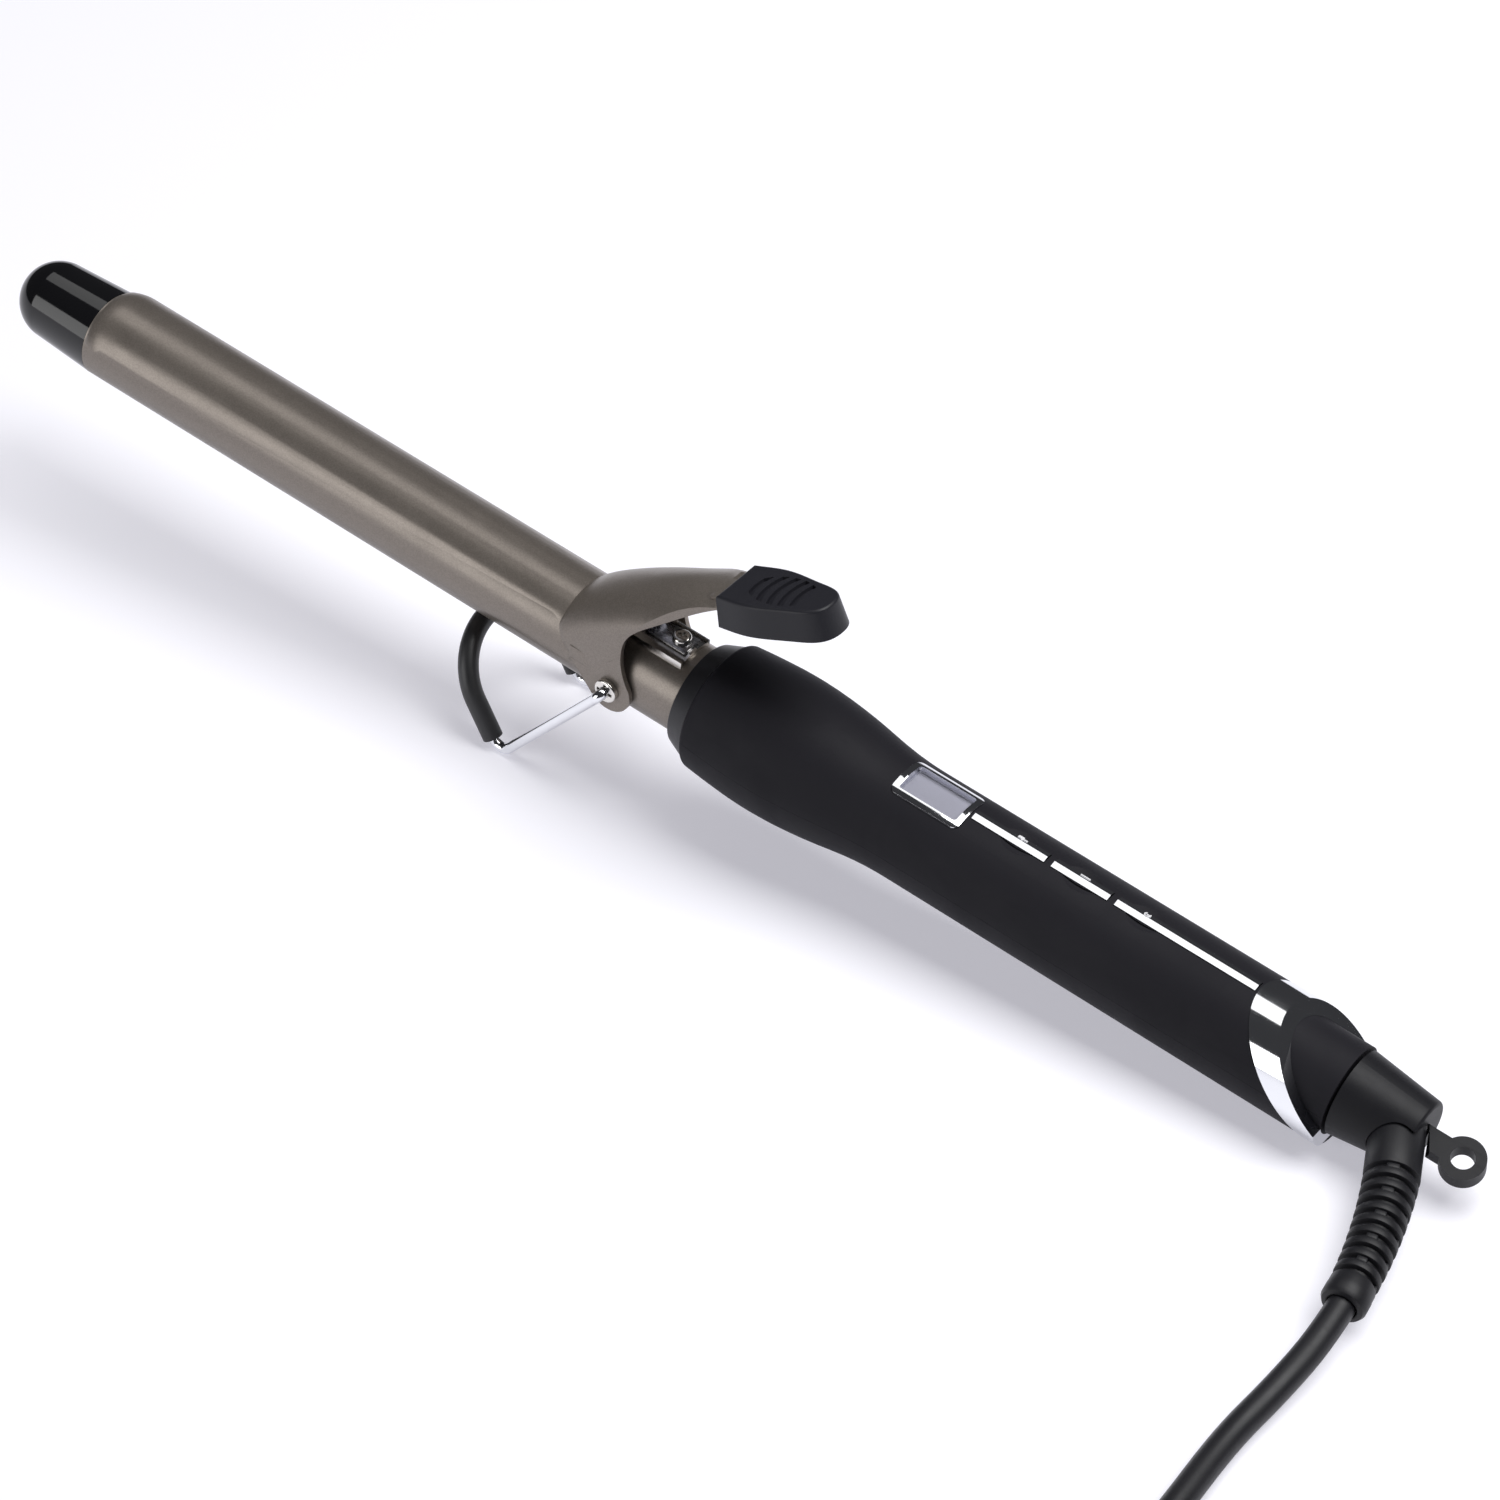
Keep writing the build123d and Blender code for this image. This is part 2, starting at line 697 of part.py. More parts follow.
with BuildPart() as upper_shell:
    add(split(shells.part, bisect_by=Plane.XY.offset(face_gap / 2), keep=Keep.TOP, mode=Mode.PRIVATE))
    add(upper_boss.part)
    with BuildSketch(Plane.XY.offset(bezel_floor - shell_wall)):
        with Locations((display_x, 0)):
            RectangleRounded(bezel_length + 2 * face_gap, bezel_width + 2 * face_gap, bezel_corner)
    extrude(amount=belly_radius, mode=Mode.SUBTRACT)
    for x in key_presses:
        with Locations((x, 0, tail_radius + dimple_radius - dimple_depth)):
            Sphere(dimple_radius, mode=Mode.SUBTRACT)
    for start, end, press in key_stations:
        with Locations(((start + end) / 2, 0, tail_radius)):
            Box(end - start + 2 * loose_fit, key_width + 2 * loose_fit, 4 * shell_wall, mode=Mode.SUBTRACT)
    with BuildSketch(Plane.XY):
        with Locations((shell_screw_x, 0)):
            Circle(shell_screw_diameter / 2 + running_fit)
    extrude(amount=shell_screw_length + shell_screw_seat + 1, mode=Mode.SUBTRACT)
keep(upper_shell, "upper_shell")

# Lower shell: ribs that carry the board, a boss with a sunk screw head
board_bottom = board_top - board_thickness
with BuildPart() as lower_boss:
    with BuildSketch(Plane.XY.offset(-face_gap)):
        with Locations((shell_screw_x, 0)):
            Circle(boss_radius + 1)
    extrude(amount=-belly_radius)
    add(handle_form(shell_wall / 2, handle_front_x, tail_end_x), mode=Mode.INTERSECT)

with BuildPart() as lower_shell:
    add(split(shells.part, bisect_by=Plane.XY.offset(-face_gap / 2), keep=Keep.BOTTOM, mode=Mode.PRIVATE))
    add(lower_boss.part)
    for x in (board_start + board_rib_inset, board_end - board_rib_inset):
        with Locations((x, 0, (board_bottom - tail_radius + shell_wall / 2) / 2)):
            Box(board_rib, board_width * 0.55, board_bottom + tail_radius - shell_wall / 2 - face_gap)
    with BuildSketch(Plane.XY.offset(shell_screw_seat)):
        with Locations((shell_screw_x, 0)):
            Circle(shell_screw_head / 2 + loose_fit)
    extrude(amount=-belly_radius, mode=Mode.SUBTRACT)
    with BuildSketch(Plane.XY):
        with Locations((shell_screw_x, 0)):
            Circle(shell_screw_diameter / 2 + loose_fit)
    extrude(amount=-belly_radius, mode=Mode.SUBTRACT)
keep(lower_shell, "lower_shell")

with BuildPart() as shell_screw:
    with BuildSketch(Plane.XY.offset(shell_screw_seat - face_gap)):
        with Locations((shell_screw_x, 0)):
            Circle(shell_screw_head / 2)
    extrude(amount=-shell_screw_head_height)
    with BuildSketch(Plane.XY.offset(shell_screw_seat - face_gap)):
        with Locations((shell_screw_x, 0)):
            Circle(shell_screw_diameter / 2)
    extrude(amount=shell_screw_length)
    with BuildSketch(Plane.XY.offset(shell_screw_seat - face_gap - shell_screw_head_height)):
        with Locations((shell_screw_x, 0)):
            Rectangle(recess_span * 0.7, recess_width)
            Rectangle(recess_width, recess_span * 0.7)
    extrude(amount=recess_depth, mode=Mode.SUBTRACT)
keep(shell_screw, "shell_screw")

# End ring on the neck
with BuildPart() as end_ring:
    with BuildSketch(Plane.YZ.offset(cavity_end_x)):
        Circle(tail_radius + ring_proud)
        Circle(neck_radius + face_gap, mode=Mode.SUBTRACT)
    extrude(amount=tail_end_x - cavity_end_x)
    split(bisect_by=slant(ring_front_x + face_gap), keep=Keep.TOP)
    split(bisect_by=slant(ring_front_x + ring_width), keep=Keep.BOTTOM)
keep(end_ring, "end_ring")

# Display: bezel, lens and panel
with BuildPart() as display_bezel:
    with BuildSketch(Plane.XY.offset(bezel_floor)):
        with Locations((display_x, 0)):
            RectangleRounded(bezel_length, bezel_width, bezel_corner)
            RectangleRounded(window_length, window_width, window_corner, mode=Mode.SUBTRACT)
    extrude(amount=belly_radius)
    add(
        round_bar(display_x - bezel_length, display_x + bezel_length, tail_radius + bezel_rise),
        mode=Mode.INTERSECT,
    )
keep(display_bezel, "display_bezel")

lens_top = tail_radius + bezel_rise - lens_depth
with BuildPart() as display_lens:
    with BuildSketch(Plane.XY.offset(lens_top)):
        with Locations((display_x, 0)):
            RectangleRounded(window_length - 2 * face_gap, window_width - 2 * face_gap, window_corner)
    extrude(amount=-lens_thickness)
keep(display_lens, "display_lens")

with BuildPart() as lcd_panel:
    with BuildSketch(Plane.XY.offset(board_top)):
        with Locations((display_x, 0)):
            Rectangle(window_length + 1, window_width)
    extrude(amount=bezel_floor - face_gap - board_top)
keep(lcd_panel, "lcd_panel")

# Keys: a ridged strip with a flange under the shell and a stem over its switch
key_names = ("plus_key", "minus_key", "power_key")
stem_foot = board_top + switch_height + actuator_diameter / 2 + key_travel + key_free_play
for name, (start, end, press) in zip(key_names, key_stations):
    with BuildPart() as key:
        with BuildSketch(Plane.YZ.offset(start)):
            with BuildLine():
                Polyline(
                    (-key_width / 2, key_flange_top - key_flange / 2),
                    (-key_width / 2, tail_radius + key_shoulder),
                    (0, tail_radius + key_ridge),
                    (key_width / 2, tail_radius + key_shoulder),
                    (key_width / 2, key_flange_top - key_flange / 2),
                    close=True,
                )
            make_face()
        extrude(amount=end - start)
        flange_end = min(end, cavity_end_x - key_travel)
        with Locations(((start + flange_end) / 2, 0, key_flange_top - key_flange / 2)):
            Box(flange_end - start, key_flange_width, key_flange)
        with BuildSketch(Plane.XY.offset(key_flange_top - key_flange)):
            with Locations((press, 0)):
                Circle(key_stem_diameter / 2)
        extrude(amount=stem_foot - key_flange_top + key_flange)
    keep(key, name)

# Control board with its switches and larger components
with BuildPart() as control_board:
    with Locations(((board_start + board_end) / 2, 0, board_top - board_thickness / 2)):
        Box(board_end - board_start, board_width, board_thickness)
keep(control_board, "control_board")

with BuildPart() as tact_switches:
    for x in key_presses:
        with Locations((x, 0, board_top + switch_height / 2)):
            Box(switch_size, switch_size, switch_height)
        with BuildSketch(Plane.XY.offset(board_top + switch_height)):
            with Locations((x, 0)):
                Circle(actuator_diameter / 2)
        extrude(amount=actuator_diameter / 2)
keep(tact_switches, "tact_switches")

with BuildPart() as microcontroller:
    with Locations(((key_presses[0] + key_presses[1]) / 2, 0, board_bottom - 0.8)):
        Box(9, 9, 1.6)
keep(microcontroller, "microcontroller")

with BuildPart() as triac:
    with Locations((triac_x, 4, board_top + 1.9)):
        Box(9, 4.6, 3.8)
keep(triac, "triac")

with BuildPart() as capacitor:
    with BuildSketch(Plane.XY.offset(board_bottom)):
        with Locations((board_start + board_rib_inset * 2.2, 0)):
            Circle(capacitor_diameter / 2)
    extrude(amount=-capacitor_length)
keep(capacitor, "capacitor")

# Leads: heater to board, board to brushes
lead_radius = 0.9
lead_y = 5.4
lead_z = board_top - board_thickness / 2
with BuildPart() as heater_leads:
    for side in (1, -1):
        with BuildSketch(Plane.YZ.offset(heater_end + face_gap)):
            with Locations((side * lead_y, lead_z)):
                Circle(lead_radius)
        extrude(amount=board_start - heater_end - 2 * face_gap)
keep(heater_leads, "heater_leads")

brush_face_x = cavity_end_x + 3
brush_z = slip_ring_radius + 1.6
with BuildPart() as mains_leads:
    for side in (1, -1):
        with BuildLine() as lead:
            FilletPolyline(
                (board_end + face_gap, side * lead_y, lead_z),
                (board_end + 3.5, side * lead_y, lead_z),
                (cavity_end_x - 3.5, side * lead_y, 0),
                (cavity_end_x, side * lead_y, 0),
                radius=2.5,
            )
        with BuildSketch(Plane.YZ.offset(board_end + face_gap)):
            with Locations((side * lead_y, lead_z)):
                Circle(lead_radius)
        sweep(path=lead.wires()[0])
keep(mains_leads, "mains_leads")

# Swivel: journal in the neck, cone behind it, and the hanging loop
swivel_x = tail_end_x + swivel_gap
swivel_end = swivel_x + swivel_length
journal_end = journal_seat_x - slide_gap
hub_end = journal_end - journal_flange
hub_start = hub_end - slip_hub_length
loop_plane = Plane(origin=(swivel_end, loop_y, 0), x_dir=(1, 0, 0), z_dir=(0, -0.3, 0.954))
relief_plane = Plane(
    origin=(relief_x, 0, 0),
    x_dir=(1, 0, 0),
    z_dir=(0, -sin(radians(relief_dip)), cos(radians(relief_dip))),
)
relief_length = relief_root + relief_ribbed + relief_collar
relief_radius = relief_length / radians(relief_bend)


def relief_section(s):
    """Plane across the strain relief at a distance along its curve."""
    heading = radians(relief_turn + relief_bend) - s / relief_radius
    start = radians(relief_turn + relief_bend)
    u = relief_radius * (cos(heading) - cos(start))
    v = relief_radius * (sin(heading) - sin(start))
    way = relief_plane.x_dir * sin(heading) - relief_plane.y_dir * cos(heading)
    return Plane(origin=relief_plane.from_local_coords((u, v, 0)), x_dir=relief_plane.z_dir, z_dir=way)


with BuildPart() as swivel_housing:
    with BuildSketch(Plane.XZ):
        with BuildLine():
            Polyline(
                (hub_start, 0),
                (hub_start, slip_hub_radius),
                (hub_end, slip_hub_radius),
                (hub_end, journal_flange_radius),
                (journal_end, journal_flange_radius),
                (journal_end, journal_radius),
                (swivel_x, journal_radius),
                (swivel_x, swivel_front_radius),
                (swivel_end, swivel_rear_radius),
                (swivel_end, 0),
                close=True,
            )
        make_face()
    revolve(axis=Axis.X)
    fillet(swivel_housing.edges().filter_by(GeomType.CIRCLE).group_by(Axis.X)[-1], 1.0)
    with BuildSketch(loop_plane.offset(-loop_thickness / 2)):
        with Locations((loop_reach / 2 - 0.6, 0)):
            Rectangle(loop_reach + 1.2, loop_stem)
        with Locations((loop_reach, 0)):
            Circle(loop_outer / 2)
            Circle(loop_hole / 2, mode=Mode.SUBTRACT)
    extrude(amount=loop_thickness)
    with BuildSketch(relief_section(-face_gap)):
        Circle(relief_root_radius + 2 * slide_gap)
    extrude(amount=relief_root, mode=Mode.SUBTRACT)
keep(swivel_housing, "swivel_housing")

with BuildPart() as slip_rings:
    for i in range(2):
        with BuildSketch(Plane.YZ.offset(hub_start + 3 + i * slip_ring_pitch)):
            Circle(slip_ring_radius)
            Circle(slip_hub_radius + face_gap, mode=Mode.SUBTRACT)
        extrude(amount=slip_ring_width)
keep(slip_rings, "slip_rings")

with BuildPart() as brush_holder:
    with BuildSketch(Plane.YZ.offset(cavity_end_x + face_gap)):
        Circle(chamber_radius - loose_fit)
    extrude(amount=brush_face_x - cavity_end_x - face_gap)
keep(brush_holder, "brush_holder")

with BuildPart() as brush_contacts:
    for i, side in enumerate((1, -1)):
        ring_x = hub_start + 3 + i * slip_ring_pitch + slip_ring_width / 2
        with Locations(((brush_face_x + ring_x + 1) / 2, 0, side * (brush_z + brush_sheet / 2))):
            Box(ring_x + 1 - brush_face_x, brush_width, brush_sheet)
        with Locations((ring_x, 0, side * (brush_z + slip_ring_radius + slide_gap) / 2)):
            Box(1.6, brush_width, brush_z - slip_ring_radius - slide_gap)
keep(brush_contacts, "brush_contacts")

# Strain relief: a plain root, ribs and a rounded end, with a socket for the cord
relief_rings = [(0, relief_root_radius), (relief_root, relief_root_radius)]
rib_pitch = relief_ribbed / relief_ribs
for i in range(relief_ribs):
    high = relief_root_radius + (relief_end_radius - relief_root_radius) * (i + 1) / relief_ribs
    low = high - relief_groove
    at = relief_root + i * rib_pitch
    relief_rings += [(at + 0.2, low), (at + rib_pitch * 0.4, low), (at + rib_pitch * 0.45, high)]
    relief_rings += [(at + rib_pitch, high)]
relief_rings += [
    (relief_length - relief_collar + 0.4, relief_collar_radius),
    (relief_length - 0.8, relief_collar_radius),
    (relief_length, relief_collar_radius - 0.8),
]
with BuildPart() as strain_relief:
    for s, radius in relief_rings:
        with BuildSketch(relief_section(s)):
            Circle(radius)
    loft(ruled=True)
    with BuildSketch(relief_section(relief_length)):
        Circle(cord_diameter / 2 + running_fit)
    extrude(amount=-cord_socket, mode=Mode.SUBTRACT)
keep(strain_relief, "strain_relief")

# Stance: the iron leans until both feet of the stand and the tail's lower edge meet the floor
leg_length = hypot(stand_foot_back, stand_foot_drop)
legs_dx = stand_foot_back / leg_length
legs_dz = stand_foot_drop / leg_length
corner_half = atan2(
    hypot(legs_dx - bow_dx, legs_dz - bow_dz),
    hypot(legs_dx + bow_dx, legs_dz + bow_dz),
)
corner_reach = stand_corner_radius / sin(corner_half)
split_length = hypot(legs_dx + bow_dx, legs_dz + bow_dz)
corner_x = foot_x + corner_reach * (legs_dx + bow_dx) / split_length
corner_z = foot_z + corner_reach * (legs_dz + bow_dz) / split_length
tail_run = tail_end_x - corner_x
tail_rise = -tail_radius - corner_z
foot_round = stand_corner_radius + wire_radius
lean = atan2(tail_rise, tail_run) + asin(foot_round / hypot(tail_run, tail_rise))
lift = tail_end_x * sin(lean) + tail_radius * cos(lean)
leaned = Location((0, 0, 0), (0, degrees(lean), 0))
front_reach = (leaned * pieces["tip_cap"]).bounding_box().min.X
tail_reach = (leaned * pieces["swivel_housing"]).bounding_box().max.X
stance = Location((-(front_reach + tail_reach) / 2, 0, lift), (0, degrees(lean), 0))
for name in pieces:
    pieces[name] = stance * pieces[name]
    pieces[name].label = name
print("lean", round(degrees(lean), 3), "stance", stance)

# Cord on the floor, from the strain relief to the coil
cord_radius = cord_diameter / 2
cord_floor = cord_radius + face_gap
coil_low = tie_sheet + slide_gap + cord_radius
coil_high = coil_low + coil_layer
relief_end = Plane(stance * relief_section(relief_length).location)
way = relief_end.z_dir
coil_bend = (206.6, -118.0)
entry_length = hypot(coil_start[0] - coil_bend[0], coil_start[1] - coil_bend[1])
entry = ((coil_start[0] - coil_bend[0]) / entry_length, (coil_start[1] - coil_bend[1]) / entry_length)
stub = cord_diameter
cord_points = [
    tuple(relief_end.origin - way * (cord_socket - face_gap)),
    tuple(relief_end.origin + way * 8),
    (205.6, -74.0, cord_floor + 0.9),
    (204.2, -91.0, cord_floor),
    (coil_bend[0], coil_bend[1], coil_low),
    (coil_start[0] - entry[0] * stub, coil_start[1] - entry[1] * stub, coil_low),
]


def bend_radii(points):
    """Radius at each inner corner, so that each bend takes most of its shorter run."""
    radii = []
    for a, b, c in zip(points, points[1:], points[2:]):
        into = Vector(*b) - Vector(*a)
        out = Vector(*c) - Vector(*b)
        turn = radians(into.get_angle(out))
        radii.append(0.45 * min(into.length, out.length) / tan(turn / 2))
    return radii


def cord_tube(points, name):
    """Round cord along straight runs and tangent bends, put on the list of pieces."""
    radii = bend_radii(points)
    print(name, "bend radii", [round(r, 1) for r in radii])
    with BuildPart() as tube:
        with BuildLine() as run:
            FilletPolyline(*points, radius=radii)
        with BuildSketch(Plane(origin=points[0], z_dir=Vector(*points[1]) - Vector(*points[0]))):
            Circle(cord_radius)
        sweep(path=run.wires()[0])
    keep(tube, name)
    return run.wires()[0].length


cord_length = cord_tube(cord_points, "power_cord")

# Coil: half turns that spiral in on the floor, a tilted one that climbs, and half turns out above
inward = (-entry[1], entry[0])
coil_outer_radius = coil_inner_radius + coil_turns_each * coil_pitch
spiral = [coil_outer_radius - k * coil_pitch / 2 for k in range(2 * coil_turns_each)]
half_turns = [(radius, coil_low, coil_low) for radius in spiral]
half_turns += [(coil_inner_radius, coil_low, coil_high)]
half_turns += [(radius, coil_high, coil_high) for radius in reversed(spiral)]
at = Vector(coil_start[0], coil_start[1], coil_low)
ahead = Vector(entry[0], entry[1], 0)
toward = Vector(inward[0], inward[1], 0)
coil_marks = []
with BuildPart() as cord_coil:
    with BuildSketch(Plane(origin=cord_points[-1], z_dir=ahead)):
        Circle(cord_radius)
    extrude(amount=stub)
    cord_length += stub
    for radius, low, high in half_turns:
        across = toward * (2 * radius) + Vector(0, 0, high - low)
        middle = at + across * 0.5
        with BuildSketch(Plane(origin=at, z_dir=ahead)):
            Circle(cord_radius)
        revolve(axis=Axis(middle, ahead.cross(across)), revolution_arc=180)
        for m in range(12):
            t = pi * m / 12
            coil_marks.append(middle - across * (cos(t) / 2) + ahead * (across.length / 2 * sin(t)))
        cord_length += pi * across.length / 2
        at = at + across
        ahead = -ahead
        toward = -toward
    with BuildSketch(Plane(origin=at, z_dir=ahead)):
        Circle(cord_radius)
    extrude(amount=stub)
    cord_length += stub
keep(cord_coil, "cord_coil")
exit_x, exit_y, exit_z = at

coil_gap = 1e9
skip = 10
for i in range(len(coil_marks)):
    for j in range(i + skip, len(coil_marks)):
        coil_gap = min(coil_gap, (coil_marks[i] - coil_marks[j]).length - cord_diameter)
print("coil least gap to itself", round(coil_gap, 2))

# Tie round the coil, opposite to where the cord comes in
tie_gap = 0.6
tie_mid = 2 * coil_outer_radius - coil_turns_each * coil_pitch / 2
tie_span = coil_turns_each * coil_pitch + cord_diameter + 2 * tie_gap
tie_base = (coil_start[0] + inward[0] * tie_mid, coil_start[1] + inward[1] * tie_mid)
tie_top = coil_high + cord_radius + slide_gap
tie_plane = Plane(
    origin=(tie_base[0], tie_base[1], (tie_sheet + tie_top) / 2),
    x_dir=(inward[0], inward[1], 0),
    z_dir=(entry[0], entry[1], 0),
)
with BuildPart() as cord_tie:
    with BuildSketch(tie_plane):
        RectangleRounded(tie_span + 2 * tie_sheet, tie_top + tie_sheet, 3 * tie_sheet)
        RectangleRounded(tie_span, tie_top - tie_sheet, 2 * tie_sheet, mode=Mode.SUBTRACT)
    extrude(amount=tie_width / 2, both=True)
keep(cord_tie, "cord_tie")

# Plug on the floor beside the coil, where the last turn leaves it
plug_z = plug_height / 2
plug_y = exit_y + stub + 3 * plug_neck
lead_points = [
    (exit_x, exit_y + stub, exit_z),
    (exit_x, exit_y + stub + plug_neck, exit_z),
    (exit_x, plug_y - plug_neck, plug_z),
    (exit_x, plug_y + cord_socket - face_gap, plug_z),
]
cord_length += cord_tube(lead_points, "plug_lead")
print("cord length", round(cord_length))

plug_face = plug_y + plug_neck + plug_length
pin_root_radius = plug_pin_diameter * 0.4
pin_plane = Plane(origin=(exit_x, plug_face, plug_z), x_dir=(1, 0, 0), z_dir=(0, 1, 0))
plug_shoulder_y = plug_y + plug_neck + plug_length * 0.3
with BuildPart() as plug_body:
    with BuildSketch(Plane.XY):
        with BuildLine():
            Polyline(
                (exit_x - cord_diameter * 0.75, plug_y),
                (exit_x - cord_diameter, plug_y + plug_neck),
                (exit_x - plug_width / 2, plug_shoulder_y),
                (exit_x - plug_width / 2, plug_face),
                (exit_x + plug_width / 2, plug_face),
                (exit_x + plug_width / 2, plug_shoulder_y),
                (exit_x + cord_diameter, plug_y + plug_neck),
                (exit_x + cord_diameter * 0.75, plug_y),
                close=True,
            )
        make_face()
    extrude(amount=plug_height)
    fillet(plug_body.edges().filter_by(Axis.Z), 2.0)
    fillet(plug_body.edges().group_by(Axis.Z)[-1], 1.5)
    with BuildSketch(Plane(origin=(exit_x, plug_y, plug_z), z_dir=(0, -1, 0))):
        Circle(cord_radius + running_fit)
    extrude(amount=-cord_socket, mode=Mode.SUBTRACT)
    with BuildSketch(pin_plane):
        with GridLocations(plug_pin_spacing, 1, 2, 1):
            Circle(pin_root_radius + face_gap)
    extrude(amount=-plug_neck / 2, mode=Mode.SUBTRACT)
keep(plug_body, "plug_body")

with BuildPart() as plug_pins:
    with BuildSketch(pin_plane.offset(face_gap)):
        with GridLocations(plug_pin_spacing, 1, 2, 1):
            Circle(plug_pin_diameter / 2)
    extrude(amount=plug_pin_length)
    fillet(plug_pins.faces().group_by(Axis.Y)[-1].edges(), plug_pin_diameter / 4)
    with BuildSketch(pin_plane.offset(face_gap)):
        with GridLocations(plug_pin_spacing, 1, 2, 1):
            Circle(pin_root_radius)
    extrude(amount=-plug_neck / 2)
keep(plug_pins, "plug_pins")

os.makedirs("parts", exist_ok=True)
for name, piece in pieces.items():
    export_step(piece, f"parts/{name}.step")
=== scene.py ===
from math import atan2, cos, pi, radians, sin

import bpy
from mathutils import Matrix, Vector


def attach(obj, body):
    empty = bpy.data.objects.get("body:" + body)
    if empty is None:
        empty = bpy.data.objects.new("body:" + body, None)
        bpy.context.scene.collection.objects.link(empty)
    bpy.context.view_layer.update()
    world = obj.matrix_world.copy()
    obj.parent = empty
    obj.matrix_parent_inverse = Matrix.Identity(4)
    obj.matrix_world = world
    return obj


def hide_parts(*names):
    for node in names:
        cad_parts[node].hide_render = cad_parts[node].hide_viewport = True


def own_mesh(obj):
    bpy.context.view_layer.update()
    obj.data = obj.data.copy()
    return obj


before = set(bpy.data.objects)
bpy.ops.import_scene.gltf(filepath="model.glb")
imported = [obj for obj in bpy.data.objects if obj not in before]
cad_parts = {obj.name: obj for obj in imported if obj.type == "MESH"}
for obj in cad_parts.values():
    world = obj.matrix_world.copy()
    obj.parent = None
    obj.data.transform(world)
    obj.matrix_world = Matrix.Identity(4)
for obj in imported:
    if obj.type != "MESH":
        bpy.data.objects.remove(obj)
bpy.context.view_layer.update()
bpy.ops.object.select_all(action="DESELECT")
scene = bpy.context.scene
scene.view_settings.view_transform = "Standard"
print("frame loaded,", len(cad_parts), "nodes")

# camera, at the angle of the photograph
cameraView = {
    "place": (0.49499, -0.64663, 0.73476),
    "right": (0.79575, 0.6055, 0.01172),
    "up": (-0.40775, 0.5213, 0.74966),
    "forward": (-0.44785, 0.6013, -0.66168),
    "lens": 112.06,
    "sensor": 36,
}
bpy.ops.object.camera_add(location=cameraView["place"])
camera = bpy.context.object
camera.name = "photoCamera"
camera.data.lens = cameraView["lens"]
camera.data.sensor_width = cameraView["sensor"]
turned = Matrix((cameraView["right"], cameraView["up"], [-c for c in cameraView["forward"]])).transposed()
camera.matrix_world = Matrix.Translation(cameraView["place"]) @ turned.to_4x4()
scene.camera = camera
print("camera set")

# the iron's own axes in the room: x along the barrel, z up through the lever
lean = radians(6.15716)
axisStart = Vector((-0.183262, 0, 0.0523443))


ironTurn = Matrix.Rotation(lean, 4, "Y")
ironPlace = Matrix.Translation(axisStart) @ ironTurn

# cord: the route over the floor, the wound coil and the lead to the plug
cordRoute = {
    "diameter": 0.0065,
    "length": 1.718,
    "exit": (0.204629, -0.043268, 0.007838),
    "run": [
        (0.204629, -0.043268, 0.007838), (0.206469, -0.057057, 0.006791), (0.2056, -0.074, 0.0042),
        (0.2042, -0.091, 0.0033), (0.2066, -0.118, 0.00455), (0.2066, -0.1475, 0.00455),
    ],
    "coilStart": (0.2066, -0.154),
    "ahead": (0.0, -1.0),
    "innerRadius": 0.0265,
    "pitch": 0.0071,
    "turnsEach": 3,
    "low": 0.00455,
    "climb": 0.0073,
    "pointsPerHalf": 8,
    "lead": [
        (0.3022, -0.1475, 0.01185), (0.3022, -0.1335, 0.01185), (0.3022, -0.1195, 0.0068),
        (0.3022, -0.09955, 0.0068),
    ],
}


def coilPoints(route):
    points = []
    at = Vector((*route["coilStart"], route["low"]))
    ahead = Vector((*route["ahead"], 0))
    toward = Vector((-ahead.y, ahead.x, 0))
    outer = route["innerRadius"] + route["turnsEach"] * route["pitch"]
    spiral = [outer - k * route["pitch"] / 2 for k in range(2 * route["turnsEach"])]
    halves = [(r, 0) for r in spiral] + [(route["innerRadius"], route["climb"])] + [(r, 0) for r in reversed(spiral)]
    for radius, rise in halves:
        across = toward * (2 * radius) + Vector((0, 0, rise))
        middle = at + across / 2
        n = route["pointsPerHalf"]
        out = 1 / cos(pi / n / 2)  # the spline runs inside its points by this much
        for k in range(n):
            t = pi * (k + 0.5) / n
            points.append(middle - across * (out * cos(t) / 2) + ahead * (out * sin(t) * across.length / 2))
        at = at + across
        ahead, toward = -ahead, -toward
    return points


cordLine = cordRoute["run"] + coilPoints(cordRoute) + cordRoute["lead"]
cordCurve = bpy.data.curves.new("mainsCord", "CURVE")
cordCurve.dimensions = "3D"
cordCurve.bevel_depth = cordRoute["diameter"] / 2
cordCurve.bevel_resolution = 5
cordCurve.resolution_u = 6
cordCurve.use_fill_caps = True
cordSpline = cordCurve.splines.new("NURBS")
cordSpline.points.add(len(cordLine) - 1)
for point, place in zip(cordSpline.points, cordLine):
    point.co = (*place, 1)
cordSpline.order_u = 3
cordSpline.use_endpoint_u = True
mainsCord = bpy.data.objects.new("mainsCord", cordCurve)
scene.collection.objects.link(mainsCord)
print("cord laid,", len(cordLine), "points")


# effects that several finishes share
def newGroup(name, inputs, outputs):
    group = bpy.data.node_groups.new(name, "ShaderNodeTree")
    for label, kind in inputs:
        group.interface.new_socket(label, in_out="INPUT", socket_type="NodeSocket" + kind)
    for label, kind in outputs:
        group.interface.new_socket(label, in_out="OUTPUT", socket_type="NodeSocket" + kind)
    enter = group.nodes.new("NodeGroupInput")
    leave = group.nodes.new("NodeGroupOutput")
    enter.location = (-800, 0)
    leave.location = (600, 0)
    return group, enter, leave


def addNode(tree, kind, place, **values):
    node = tree.nodes.new("ShaderNode" + kind)
    node.location = place
    for label, value in values.items():
        node.inputs[label].default_value = value
    return node


